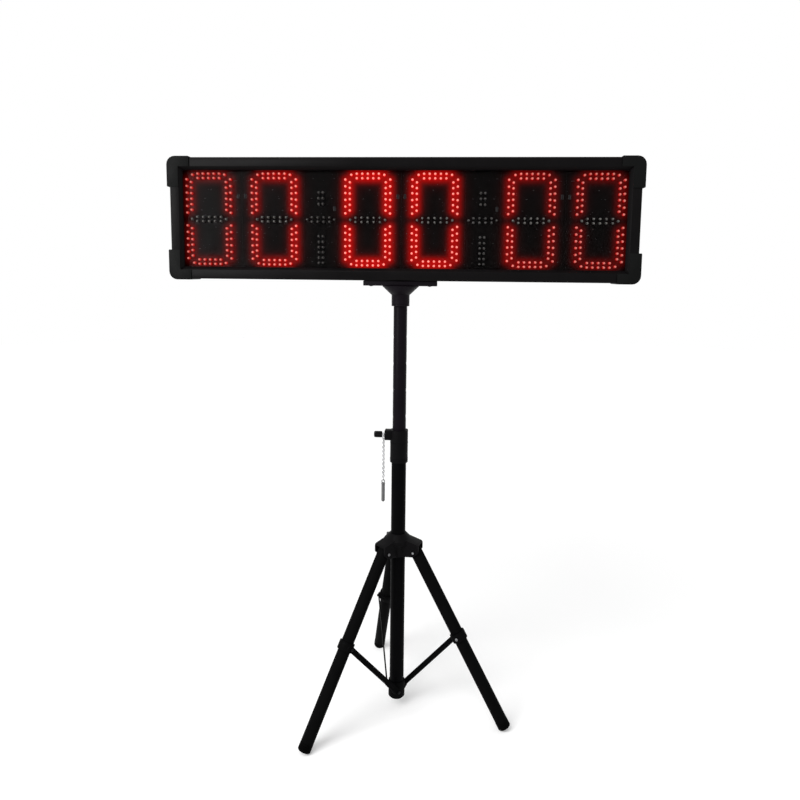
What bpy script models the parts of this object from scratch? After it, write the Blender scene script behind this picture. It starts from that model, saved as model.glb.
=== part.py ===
"""Countdown timer: a six-digit LED display case on a folding tripod stand.

Metres, +Z up, the display faces -Y. The origin is on the floor, at the middle of the whole
object's outline in plan. Legs are numbered anticlockwise from the one at the back.
"""

import math

import bmesh
import bpy
from mathutils import Matrix

# Clearances
GAP = 0.0003
SLIDE_GAP = 0.0003
SIDE_GAP = 0.0006

# Legs and feet
LEG_COUNT = 3
LEG_LENGTH = 0.4390
LEG_SPREAD = math.radians(29.4)
LEG_TURN = math.radians(104.5)
LEG_RADIUS = 0.0140
LEG_WALL = 0.0012
LEG_HEAD = 0.0070
FOOT_END_HEIGHT = 0.0045
FOOT_LIP = 0.0004
FOOT_SOLE = 0.0180
FOOT_STEM = 0.0250
FOOT_ROUND = 0.0030

# The middle of a round lies this share of its radius in from both faces
ROUND_SHARE = 1.0 - math.sqrt(0.5)

# Leg hub, with heights counted from the leg hinges
HUB_HINGE_RADIUS = 0.0425
HUB_RISE = 0.0370
HUB_DROP = 0.0140
HUB_WALL = 0.0072
HUB_NECK_WALL = 0.0022
HUB_FLARE = 0.0080
LOBE_REACH = 0.0115
LOBE_RISE = 0.0235
LOBE_ROOF = 0.0030
LOBE_STEP = 0.0008
LOBE_UNDERCUT = 0.0024
LOBE_SLOPE = 0.0055
LOBE_ROUND = 0.0057
EAR_THICKNESS = 0.0030
HUB_KNOB_RADIUS = 0.0160
HUB_KNOB_THICKNESS = 0.0130
HUB_KNOB_ROUND = 0.0032
HUB_KNOB_DROP = 0.0020
HUB_BOSS_RADIUS = 0.0090
HUB_BOSS_REACH = 0.0050

# Braces and what carries them
BRACE_LEG_DISTANCE = 0.2135
BRACE_FOOT_RADIUS = 0.0120
BRACE_FOOT_HEIGHT = 0.0454
BRACE_HALF_WIDTH = 0.0062
BRACE_THICKNESS = 0.0020
BRACKET_WALL = 0.0032
BRACKET_LENGTH = 0.0180
BRACKET_BOSS_RADIUS = 0.0080
BOSS_ROOT = 0.0066
BOSS_FACE = 0.0190
COLLAR_LOW_LENGTH = 0.0370
COLLAR_LOW_WALL = 0.0022

# Bolts
BOLT_RADIUS = 0.0025
BOLT_CLEARANCE = 0.0003
BOLT_HEAD_RADIUS = 0.0045
BOLT_HEAD_HEIGHT = 0.0030
BOLT_HEAD_ROUND = 0.0009

# Tubes
LOWER_TUBE_RADIUS = 0.0165
LOWER_TUBE_WALL = 0.0012
LOWER_TUBE_LENGTH = 0.6150
LOWER_TUBE_FLOOR_GAP = 0.0250
UPPER_TUBE_WALL = 0.0015
UPPER_TUBE_LENGTH = 0.6200
PLUG_DEPTH = 0.0180
PLUG_FLANGE = 0.0020
PLUG_ROUND = 0.0012
PIN_HOLE_RADIUS = 0.0048
PIN_HOLE_COUNT = 4
PIN_HOLE_PITCH = 0.0600
PIN_HOLE_FIRST = 0.0300

# Height collar, clamp knob, chain and pin
COLLAR_SKIRT = 0.0500
COLLAR_HEAD = 0.0240
COLLAR_WALL = 0.0035
BOSS_REACH = 0.0125
BOSS_HALF_WIDTH = 0.0110
BOSS_HEIGHT = 0.0225
BOSS_ROUND = 0.0020
KNOB_RADIUS = 0.0062
KNOB_LENGTH = 0.0185
KNOB_ROUND = 0.0012
CHAIN_SPACE = 0.0056
CHAIN_WIRE_RADIUS = 0.0009
CHAIN_RING_CLEARANCE = 0.0010
CHAIN_THREAD_RADIUS = 0.0006
CHAIN_BEAD_RADIUS = 0.0019
CHAIN_BEAD_PITCH = 0.0055
CHAIN_BEAD_COUNT = 17
PIN_RADIUS = 0.0043
PIN_LENGTH = 0.0440
PIN_EYE_THICKNESS = 0.0020
PIN_EYE_SPACE = 0.0017
PIN_EYE_WALL = 0.0016
PIN_NECK = 0.0010
PIN_EDGE = 0.0006
PIN_TIP = 0.0021

# How far the mast is drawn out of the collar
MAST_EXTENSION = 0.2780

# Pole socket and mounting plate
CUP_WALL = 0.0045
CUP_LENGTH = 0.0245
CONE_HEIGHT = 0.0195
CONE_RADIUS = 0.0400
SOCKET_BORE_DEPTH = 0.0400
PLATE_WIDTH = 0.1600
PLATE_DEPTH = 0.0500
PLATE_THICKNESS = 0.0108
PLATE_EDGE = 0.0010

# Display case; its width follows from the row of boards in it
CASE_HEIGHT = 0.2600
CASE_DEPTH = 0.0550
CASE_OFFSET = -0.0025
CASE_CORNER_CUT = 0.0140
RAIL_WALL = 0.0020
RAIL_EDGE = 0.0015
LIP_WIDTH = 0.0195
LIP_SLOPE = 0.0070
LIP_DEPTH = 0.0100
RIB_THICKNESS = 0.0015
COVER_RIB_REACH = 0.0120
BOARD_RIB_REACH = 0.0140
BACK_FLANGE = 0.0160
MITRE_GAP = 0.0003
CORNER_SIDE_WALL = 0.0053
CORNER_TOP_WALL = 0.0023
CORNER_FACE_WALL = 0.0020
CORNER_ARM_ACROSS = 0.0490
CORNER_ARM_UP = 0.0650
CORNER_ROUND = 0.0180
CORNER_EDGE = 0.0010

# Cover, boards and back
COVER_THICKNESS = 0.0020
BOARD_THICKNESS = 0.0016
BACK_THICKNESS = 0.0015
SHEET_MARGIN = 0.0008
BOARD_JOINT = 0.0006
BOARD_END_SPACE = 0.0149
DIGIT_PAIR_PITCH = 0.1446
DIGIT_GROUP_PITCH = 0.2050
COLON_BOARD_WIDTH = 0.0734
LED_HEIGHT = 0.0087
LED_COVER_SPACE = 0.0012
DIGIT_DOT_WIDTH = 0.0970
DIGIT_DOT_HEIGHT = 0.1950
SEGMENT_HALF_WIDTH = 0.0065
SEGMENT_END_SPACE = 0.0100
COLON_HALF_WIDTH = 0.0065
COLON_TOP_BLOCK = (0.0620, 0.0330)
COLON_LOW_BLOCK = (-0.0900, -0.0300)

# Inside the case and at its back
SUPPLY_WIDTH = 0.1100
SUPPLY_HEIGHT = 0.0600
SUPPLY_DEPTH = 0.0235
CONTROL_WIDTH = 0.1000
CONTROL_HEIGHT = 0.0700
CONTROL_POST = 0.0100
CONTROL_POST_RADIUS = 0.0030
CONTROL_POST_INSET = 0.0060
CHIP_HEIGHT = 0.0060
CHIP_HALF = 0.0120
PLUG_HALF = 0.0080
INSIDE_HEIGHT = -0.0300
LEAD_RADIUS = 0.0030
LEAD_LENGTH = 0.0670
LEAD_SAG = 0.0050
LEAD_STEPS = 8
LOOM_RADIUS = 0.0025
LOOM_LENGTH = 0.1308
INLET_END_SPACE = 0.1720
INLET_Z = -0.0450
INLET_WIDTH = 0.0460
INLET_HEIGHT = 0.0530
INLET_DEPTH = 0.0200
INLET_FLANGE = 0.0020
INLET_FLANGE_BORDER = 0.0025
SOCKET_WIDTH = 0.0240
SOCKET_HEIGHT = 0.0165
SOCKET_DEPTH = 0.0140
SOCKET_DROP = 0.0115
ROCKER_WIDTH = 0.0190
ROCKER_HEIGHT = 0.0130
ROCKER_DEPTH = 0.0065
ROCKER_RISE = 0.0130
ROCKER_WELL_DEPTH = 0.0110
ROCKER_WELL_MARGIN = 0.0006
ROCKER_TILT = math.radians(8.0)
ROCKER_VALLEY = 0.0014
ROCKER_STEP = 0.0006
ROCKER_FLAT = 0.0033

# Fineness of round shapes, and the distance at which points are welded
TUBE_SIDES = 40
KNOB_SIDES = 24
SMALL_SIDES = 20
RING_SIDES = 16
CHAIN_SIDES = 8
WIRE_SIDES = 6
BEAD_STEPS = 5
ARC_STEPS = 5
WELD = 0.000005

# Places worked out from the sizes above
FOOT_REACH = HUB_HINGE_RADIUS + LEG_LENGTH * math.sin(LEG_SPREAD)
HUB_HEIGHT = FOOT_END_HEIGHT + LEG_LENGTH * math.cos(LEG_SPREAD)
HUB_BORE = LOWER_TUBE_RADIUS + SLIDE_GAP
HUB_RADIUS = HUB_BORE + HUB_WALL
EAR_INNER = LEG_RADIUS + SIDE_GAP
EAR_OUTER = EAR_INNER + EAR_THICKNESS
BRACE_TOP_RADIUS = HUB_HINGE_RADIUS + BRACE_LEG_DISTANCE * math.sin(LEG_SPREAD)
BRACE_TOP_HEIGHT = HUB_HEIGHT - BRACE_LEG_DISTANCE * math.cos(LEG_SPREAD)
BRACE_RUN = BRACE_TOP_RADIUS - BRACE_FOOT_RADIUS
BRACE_CLIMB = BRACE_TOP_HEIGHT - BRACE_FOOT_HEIGHT
BRACE_LENGTH = math.hypot(BRACE_RUN, BRACE_CLIMB)
BRACE_LEAN = math.atan2(BRACE_RUN, BRACE_CLIMB)
BRACE_INNER = BOSS_FACE + GAP
BRACE_OUTER = BRACE_INNER + BRACE_THICKNESS
LOWER_TUBE_TOP = LOWER_TUBE_FLOOR_GAP + LOWER_TUBE_LENGTH
UPPER_TUBE_RADIUS = LOWER_TUBE_RADIUS - LOWER_TUBE_WALL - SLIDE_GAP
COLLAR_BORE = LOWER_TUBE_RADIUS + GAP
COLLAR_RADIUS = LOWER_TUBE_RADIUS + COLLAR_WALL
COLLAR_BOTTOM = LOWER_TUBE_TOP - COLLAR_SKIRT
COLLAR_TOP = LOWER_TUBE_TOP + COLLAR_HEAD
CLAMP_HEIGHT = LOWER_TUBE_TOP + COLLAR_HEAD / 2
BOSS_END = COLLAR_RADIUS + BOSS_REACH
CHAIN_X = -(BOSS_END + CHAIN_SPACE / 2)
KNOB_START = BOSS_END + CHAIN_SPACE
CHAIN_RING_RADIUS = BOLT_RADIUS + CHAIN_RING_CLEARANCE + CHAIN_WIRE_RADIUS
CHAIN_RING_HEIGHT = CLAMP_HEIGHT - CHAIN_RING_CLEARANCE + GAP
CHAIN_START = CHAIN_RING_HEIGHT - CHAIN_RING_RADIUS
CHAIN_END = CHAIN_START - CHAIN_BEAD_COUNT * CHAIN_BEAD_PITCH
LOW_RING_HEIGHT = CHAIN_END - CHAIN_RING_RADIUS
PIN_HINGE_HEIGHT = LOW_RING_HEIGHT - CHAIN_RING_RADIUS
CUP_BOTTOM = COLLAR_TOP + MAST_EXTENSION
SOCKET_TOP = CUP_BOTTOM + CUP_LENGTH + CONE_HEIGHT
MAST_TOP = CUP_BOTTOM + SOCKET_BORE_DEPTH - GAP
PLATE_BOTTOM = SOCKET_TOP + GAP
CASE_BOTTOM = PLATE_BOTTOM + PLATE_THICKNESS + GAP
CASE_CENTRE = CASE_BOTTOM + CASE_HEIGHT / 2
COVER_FRONT = LIP_DEPTH + GAP
COVER_RIB = COVER_FRONT + COVER_THICKNESS + GAP
BOARD_FRONT = COVER_FRONT + COVER_THICKNESS + LED_COVER_SPACE + LED_HEIGHT
BOARD_RIB = BOARD_FRONT + BOARD_THICKNESS + GAP
BACK_OUTER = CASE_DEPTH - RAIL_WALL - GAP
BACK_INNER = BACK_OUTER - BACK_THICKNESS
SHEET_INSET = RAIL_WALL + SHEET_MARGIN
COLON_X = DIGIT_PAIR_PITCH / 2 + DIGIT_GROUP_PITCH / 2
DIGIT_OUTER_HALF = (DIGIT_GROUP_PITCH - COLON_BOARD_WIDTH) / 2 - BOARD_JOINT
LAST_DIGIT_X = DIGIT_PAIR_PITCH + DIGIT_GROUP_PITCH + DIGIT_PAIR_PITCH / 2
CASE_WIDTH = 2 * (LAST_DIGIT_X + DIGIT_OUTER_HALF + BOARD_END_SPACE)
INLET_X = CASE_WIDTH / 2 - INLET_END_SPACE
SUPPLY_X = INLET_X - INLET_WIDTH / 2 - LEAD_LENGTH - SUPPLY_WIDTH / 2
CONTROL_X = SUPPLY_X - SUPPLY_WIDTH / 2 - LOOM_LENGTH - CONTROL_WIDTH / 2

PARTS = "countdown_timer"
CUTTERS = "cutters"

BLACK_METAL = ((0.022, 0.022, 0.024), 0.38, 0.6)
BLACK_PAINT = ((0.020, 0.020, 0.022), 0.35, 0.3)
BLACK_PLASTIC = ((0.024, 0.024, 0.026), 0.50, 0.0)
BLACK_RUBBER = ((0.016, 0.016, 0.017), 0.80, 0.0)
DARK_BOARD = ((0.016, 0.018, 0.018), 0.60, 0.0)
GREEN_BOARD = ((0.030, 0.110, 0.050), 0.50, 0.0)
CLEAR_COVER = ((0.060, 0.060, 0.065), 0.06, 0.0)
GREY_METAL = ((0.560, 0.570, 0.580), 0.35, 0.9)
PALE_CHAIN = ((0.620, 0.620, 0.630), 0.35, 0.8)
DARK_PIN = ((0.070, 0.070, 0.075), 0.40, 0.6)
WIRE_GREY = ((0.080, 0.080, 0.085), 0.60, 0.0)


def clear_scene():
    """Remove every object and make one collection for the parts and one for the cutters."""
    for scene_object in list(bpy.data.objects):
        bpy.data.objects.remove(scene_object)
    for name in (PARTS, CUTTERS):
        bpy.context.scene.collection.children.link(bpy.data.collections.new(name))


def material(name, finish):
    """A Principled material in a (colour, roughness, metallic) finish."""
    colour, roughness, metallic = finish
    made = bpy.data.materials.new(name)
    made.use_nodes = True
    shader = made.node_tree.nodes["Principled BSDF"]
    shader.inputs["Base Color"].default_value = (*colour, 1.0)
    shader.inputs["Roughness"].default_value = roughness
    shader.inputs["Metallic"].default_value = metallic
    made.diffuse_color = (*colour, 1.0)
    return made


def empty(name, parent, location, rotation=(0.0, 0.0, 0.0)):
    """An axis to hang pieces on."""
    axis = bpy.data.objects.new(name, None)
    axis.empty_display_size = 0.03
    axis.parent = parent
    axis.location = location
    axis.rotation_euler = rotation
    bpy.data.collections[PARTS].objects.link(axis)
    return axis


def piece(name, mesh, finish, parent, location=(0.0, 0.0, 0.0), rotation=(0.0, 0.0, 0.0)):
    """A named sub-part with its own material."""
    made = bpy.data.objects.new(name, mesh)
    mesh.name = name
    mesh.materials.clear()
    mesh.materials.append(material(name, finish))
    made.parent = parent
    made.location = location
    made.rotation_euler = rotation
    bpy.data.collections[PARTS].objects.link(made)
    return made


def helper(name, mesh, parent, location=(0.0, 0.0, 0.0), rotation=(0.0, 0.0, 0.0)):
    """A solid that a Boolean reads: a wire shape that isn't rendered."""
    made = bpy.data.objects.new(name, mesh)
    made.parent = parent
    made.location = location
    made.rotation_euler = rotation
    made.hide_render = True
    made.display_type = "WIRE"
    bpy.data.collections[CUTTERS].objects.link(made)
    return made


def combine(target, operation, other):
    """A Boolean modifier of the given kind."""
    modifier = target.modifiers.new(other.name, "BOOLEAN")
    modifier.operation = operation
    modifier.solver = "EXACT"
    modifier.object = other


def cut(target, *others):
    for other in others:
        combine(target, "DIFFERENCE", other)


def join(target, *others):
    for other in others:
        combine(target, "UNION", other)


def bevel(target, width, segments=2):
    """Rounded edges where the faces turn by more than 40 degrees."""
    modifier = target.modifiers.new("edges", "BEVEL")
    modifier.width = width
    modifier.segments = segments
    modifier.limit_method = "ANGLE"
    modifier.angle_limit = math.radians(40.0)


def finish_mesh(bm, name, round_shape=True):
    """The mesh of a bmesh, with round shapes shaded smooth up to their corners."""
    mesh = bpy.data.meshes.new(name)
    bm.to_mesh(mesh)
    bm.free()
    if round_shape:
        mesh.shade_smooth()
        mesh.set_sharp_from_angle(angle=math.radians(35.0))
    return mesh


def box(low, high):
    """A box between two corners."""
    bm = bmesh.new()
    bmesh.ops.create_cube(bm, size=1.0)
    size = [high[axis] - low[axis] for axis in range(3)]
    middle = [(high[axis] + low[axis]) / 2 for axis in range(3)]
    bmesh.ops.transform(bm, matrix=Matrix.Diagonal((*size, 1.0)), verts=bm.verts)
    bmesh.ops.translate(bm, vec=middle, verts=bm.verts)
    return finish_mesh(bm, "box", round_shape=False)


def centred_box(x, y, z, width, depth, height):
    """A box given by its middle and its sizes."""
    low = (x - width / 2, y - depth / 2, z - height / 2)
    high = (x + width / 2, y + depth / 2, z + height / 2)
    return box(low, high)


def rod(radius, start, end, axis="Z", sides=SMALL_SIDES):
    """A solid cylinder from start to end along one axis through the origin."""
    bm = bmesh.new()
    bmesh.ops.create_cone(
        bm, cap_ends=True, segments=sides, radius1=radius, radius2=radius, depth=end - start
    )
    bmesh.ops.translate(bm, vec=(0.0, 0.0, (start + end) / 2), verts=bm.verts)
    bmesh.ops.transform(bm, matrix=along(axis), verts=bm.verts)
    return finish_mesh(bm, "rod")


def along(axis):
    """The turn that lays +Z along the named axis."""
    if axis == "X":
        return Matrix.Rotation(math.radians(90.0), 4, "Y")
    if axis == "Y":
        return Matrix.Rotation(math.radians(-90.0), 4, "X")
    return Matrix.Identity(4)


def turned(profile, ring=False, axis="Z", sides=SMALL_SIDES):
    """A turned shape from (radius, height) points down its outer side, as a ring or up to the axis."""
    mesh = bpy.data.meshes.new("profile")
    edges = [(index, index + 1) for index in range(len(profile) - 1)]
    if ring:
        edges.append((len(profile) - 1, 0))
    mesh.from_pydata([(radius, 0.0, height) for radius, height in profile], edges, [])
    source = bpy.data.objects.new("profile", mesh)
    bpy.context.scene.collection.objects.link(source)
    screw = source.modifiers.new("turn", "SCREW")
    screw.steps = sides
    screw.render_steps = sides
    screw.use_merge_vertices = True
    screw.merge_threshold = WELD
    result = take_mesh(source)
    result.transform(along(axis))
    return result


def take_mesh(source):
    """The evaluated mesh of an object, welded, and the object removed."""
    bpy.context.view_layer.update()
    graph = bpy.context.evaluated_depsgraph_get()
    mesh = bpy.data.meshes.new_from_object(source.evaluated_get(graph))
    bm = bmesh.new()
    bm.from_mesh(mesh)
    bmesh.ops.remove_doubles(bm, verts=bm.verts, dist=WELD)
    bpy.data.meshes.remove(mesh)
    bpy.data.objects.remove(source)
    return finish_mesh(bm, "shape")


def flat(outline, thickness, holes=()):
    """A plate in the XY plane, centred on it, from an outline and round holes (x, y, radius)."""
    curve = bpy.data.curves.new("outline", "CURVE")
    curve.dimensions = "2D"
    curve.fill_mode = "BOTH"
    curve.extrude = thickness / 2
    add_spline(curve, outline)
    for x, y, radius in holes:
        turns = [math.tau * step / SMALL_SIDES for step in range(SMALL_SIDES)]
        add_spline(curve, [(x + radius * math.cos(a), y + radius * math.sin(a)) for a in turns])
    source = bpy.data.objects.new("outline", curve)
    bpy.context.scene.collection.objects.link(source)
    return take_mesh(source)


def add_spline(curve, points):
    spline = curve.splines.new("POLY")
    spline.points.add(len(points) - 1)
    for point, (x, y) in zip(spline.points, points):
        point.co = (x, y, 0.0, 1.0)
    spline.use_cyclic_u = True


def tube_along(points, radius):
    """A round wire through the given points, with filled ends."""
    curve = bpy.data.curves.new("wire", "CURVE")
    curve.dimensions = "3D"
    curve.bevel_depth = radius
    curve.bevel_resolution = 2
    curve.use_fill_caps = True
    spline = curve.splines.new("POLY")
    spline.points.add(len(points) - 1)
    for point, place in zip(spline.points, points):
        point.co = (*place, 1.0)
    source = bpy.data.objects.new("wire", curve)
    bpy.context.scene.collection.objects.link(source)
    return take_mesh(source)


def rounded(corners):
    """An outline from (x, y, radius) corners, each with an arc of its radius."""
    points = []
    count = len(corners)
    for index, (x, y, radius) in enumerate(corners):
        if radius == 0.0:
            points.append((x, y))
            continue
        before = corners[index - 1]
        after = corners[(index + 1) % count]
        to_before = direction((x, y), before)
        to_after = direction((x, y), after)
        turn = math.acos(to_before[0] * to_after[0] + to_before[1] * to_after[1])
        back = radius / math.tan(turn / 2)
        bisector = direction((0.0, 0.0), (to_before[0] + to_after[0], to_before[1] + to_after[1]))
        reach = radius / math.sin(turn / 2)
        centre = (x + bisector[0] * reach, y + bisector[1] * reach)
        start = (x + to_before[0] * back, y + to_before[1] * back)
        end = (x + to_after[0] * back, y + to_after[1] * back)
        points.extend(arc(centre, start, end, radius))
    return points


def direction(start, end):
    """The unit direction from start towards end."""
    length = math.hypot(end[0] - start[0], end[1] - start[1])
    return ((end[0] - start[0]) / length, (end[1] - start[1]) / length)


def arc(centre, start, end, radius):
    """Points of the short arc from start to end."""
    first = math.atan2(start[1] - centre[1], start[0] - centre[0])
    last = math.atan2(end[1] - centre[1], end[0] - centre[0])
    sweep = (last - first + math.pi) % math.tau - math.pi
    turns = [first + sweep * step / ARC_STEPS for step in range(ARC_STEPS + 1)]
    return [(centre[0] + radius * math.cos(a), centre[1] + radius * math.sin(a)) for a in turns]


def pipe(radius, wall, bottom, top, sides=TUBE_SIDES):
    """An open tube."""
    inner = radius - wall
    profile = [(radius, top), (radius, bottom), (inner, bottom), (inner, top)]
    return turned(profile, ring=True, sides=sides)


def bolt(head_start, shank_end, nut=False):
    """A bolt along Y: a head, a shank towards negative Y, and a nut past its end if asked for."""
    head_end = head_start + BOLT_HEAD_HEIGHT
    profile = [
        (0.0, head_end),
        (BOLT_HEAD_RADIUS - BOLT_HEAD_ROUND, head_end),
        (BOLT_HEAD_RADIUS, head_end - BOLT_HEAD_ROUND),
        (BOLT_HEAD_RADIUS, head_start),
        (BOLT_RADIUS, head_start),
        (BOLT_RADIUS, shank_end),
    ]
    if nut:
        nut_end = shank_end - BOLT_HEAD_HEIGHT
        profile.extend([(BOLT_HEAD_RADIUS, shank_end), (BOLT_HEAD_RADIUS, nut_end), (0.0, nut_end)])
    else:
        profile.append((0.0, shank_end))
    return turned(profile, axis="Y")


def leg_angle(leg):
    return LEG_TURN + math.tau * leg / LEG_COUNT


# Legs, braces and hub


def make_leg(leg, hub_axis, floor_cutter):
    """A leg hanging from its hinge on the hub; local -Z runs down the leg and +Y is tangential."""
    number = leg + 1
    angle = leg_angle(leg)
    place = (HUB_HINGE_RADIUS * math.cos(angle), HUB_HINGE_RADIUS * math.sin(angle), 0.0)
    axis = empty(f"leg_hinge_{number}", hub_axis, place, (0.0, -LEG_SPREAD, angle))
    hole = BOLT_RADIUS + BOLT_CLEARANCE
    tube_end = -(LEG_LENGTH - FOOT_SOLE - GAP)
    tube = piece(f"leg_tube_{number}", pipe(LEG_RADIUS, LEG_WALL, tube_end, LEG_HEAD), BLACK_PAINT, axis)
    reach = LEG_RADIUS + EAR_THICKNESS
    cut(tube, helper(f"hinge_hole_{number}", rod(hole, -reach, reach, "Y"), axis))
    pin_place = (0.0, 0.0, -BRACE_LEG_DISTANCE)
    pin_hole = helper(f"pin_hole_{number}", rod(hole, -reach, reach, "Y"), axis, pin_place)
    cut(tube, pin_hole)

    stem = LEG_RADIUS - LEG_WALL - GAP
    outer = LEG_RADIUS + FOOT_LIP
    low = -LEG_LENGTH
    profile = [
        (0.0, low + FOOT_SOLE + FOOT_STEM),
        (stem, low + FOOT_SOLE + FOOT_STEM),
        (stem, low + FOOT_SOLE),
        (outer, low + FOOT_SOLE),
        (outer, low + FOOT_ROUND),
        (outer - FOOT_ROUND * ROUND_SHARE, low + FOOT_ROUND * ROUND_SHARE),
        (outer - FOOT_ROUND, low),
        (0.0, low),
    ]
    foot = piece(f"foot_cap_{number}", turned(profile, sides=TUBE_SIDES), BLACK_RUBBER, axis)
    cut(foot, floor_cutter)

    bore = LEG_RADIUS + GAP
    ring_radius = bore + BRACKET_WALL
    half = BRACKET_LENGTH / 2
    solid = rod(ring_radius, -half, half, "Z", TUBE_SIDES)
    bracket = piece(f"leg_bracket_{number}", solid, BLACK_PLASTIC, axis, pin_place)
    boss_mesh = rod(BRACKET_BOSS_RADIUS, BOSS_ROOT, BOSS_FACE, "Y")
    join(bracket, helper(f"bracket_boss_{number}", boss_mesh, axis, pin_place))
    bore_mesh = rod(bore, -half * 2, half * 2, "Z", TUBE_SIDES)
    cut(bracket, helper(f"bracket_bore_{number}", bore_mesh, axis, pin_place))
    hole_mesh = rod(hole, -BOSS_FACE * 2, BOSS_FACE * 2, "Y")
    cut(bracket, helper(f"bracket_hole_{number}", hole_mesh, axis, pin_place))
    pin = bolt(ring_radius + GAP, -BOSS_FACE)
    piece(f"brace_pin_{number}", pin, GREY_METAL, axis, pin_place, (0.0, 0.0, math.pi))
    return axis


def make_brace(leg, stand_axis):
    """A flat brace beside its leg; local +Z runs up the brace and its foot turns on the low collar."""
    number = leg + 1
    angle = leg_angle(leg)
    place = (
        BRACE_FOOT_RADIUS * math.cos(angle),
        BRACE_FOOT_RADIUS * math.sin(angle),
        BRACE_FOOT_HEIGHT,
    )
    axis = empty(f"brace_hinge_{number}", stand_axis, place, (0.0, BRACE_LEAN, angle))
    half = BRACE_HALF_WIDTH
    end_round = half - GAP
    corners = [
        (-half, -half, end_round),
        (half, -half, end_round),
        (half, BRACE_LENGTH + half, end_round),
        (-half, BRACE_LENGTH + half, end_round),
    ]
    hole = BOLT_RADIUS + BOLT_CLEARANCE
    holes = [(0.0, 0.0, hole), (0.0, BRACE_LENGTH, hole)]
    strip = flat(rounded(corners), BRACE_THICKNESS, holes)
    strip.transform(Matrix.Rotation(math.radians(90.0), 4, "X"))
    middle = (BRACE_INNER + BRACE_OUTER) / 2
    piece(f"brace_{number}", strip, BLACK_PAINT, axis, (0.0, middle, 0.0))
    top_bolt = bolt(BRACE_OUTER + GAP, BRACE_INNER)
    piece(f"brace_bolt_{number}", top_bolt, GREY_METAL, axis, (0.0, 0.0, BRACE_LENGTH))
    return axis


def collar_bolt_depth():
    """How far a low collar bolt reaches in before it would meet the lower tube."""
    corner = BRACE_FOOT_RADIUS - BOLT_RADIUS
    return math.sqrt(LOWER_TUBE_RADIUS**2 - corner**2) + GAP


def make_low_collar(stand_axis):
    """The collar at the foot of the lower tube, with a flat boss and a bolt for each brace."""
    middle = BRACE_FOOT_HEIGHT
    outer = COLLAR_BORE + COLLAR_LOW_WALL
    half = COLLAR_LOW_LENGTH / 2
    solid = rod(outer, -half, half, "Z", TUBE_SIDES)
    collar = piece("bottom_collar", solid, BLACK_PLASTIC, stand_axis, (0.0, 0.0, middle))
    bosses = []
    holes = []
    depth = collar_bolt_depth()
    for leg in range(LEG_COUNT):
        number = leg + 1
        angle = leg_angle(leg)
        place = (BRACE_FOOT_RADIUS * math.cos(angle), BRACE_FOOT_RADIUS * math.sin(angle), middle)
        turn = (0.0, 0.0, angle)
        boss_mesh = rod(BRACKET_BOSS_RADIUS, BOSS_ROOT, BOSS_FACE, "Y")
        bosses.append(helper(f"low_boss_{number}", boss_mesh, stand_axis, place, turn))
        hole_mesh = rod(BOLT_RADIUS + BOLT_CLEARANCE, 0.0, BOSS_FACE * 2, "Y")
        holes.append(helper(f"low_hole_{number}", hole_mesh, stand_axis, place, turn))
        screw = bolt(BRACE_OUTER + GAP, depth)
        piece(f"collar_bolt_{number}", screw, GREY_METAL, stand_axis, place, turn)
    join(collar, *bosses)
    bore_mesh = rod(COLLAR_BORE, -half * 2, half * 2, "Z", TUBE_SIDES)
    cut(collar, helper("low_collar_bore", bore_mesh, stand_axis, (0.0, 0.0, middle)))
    cut(collar, *holes)


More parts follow.
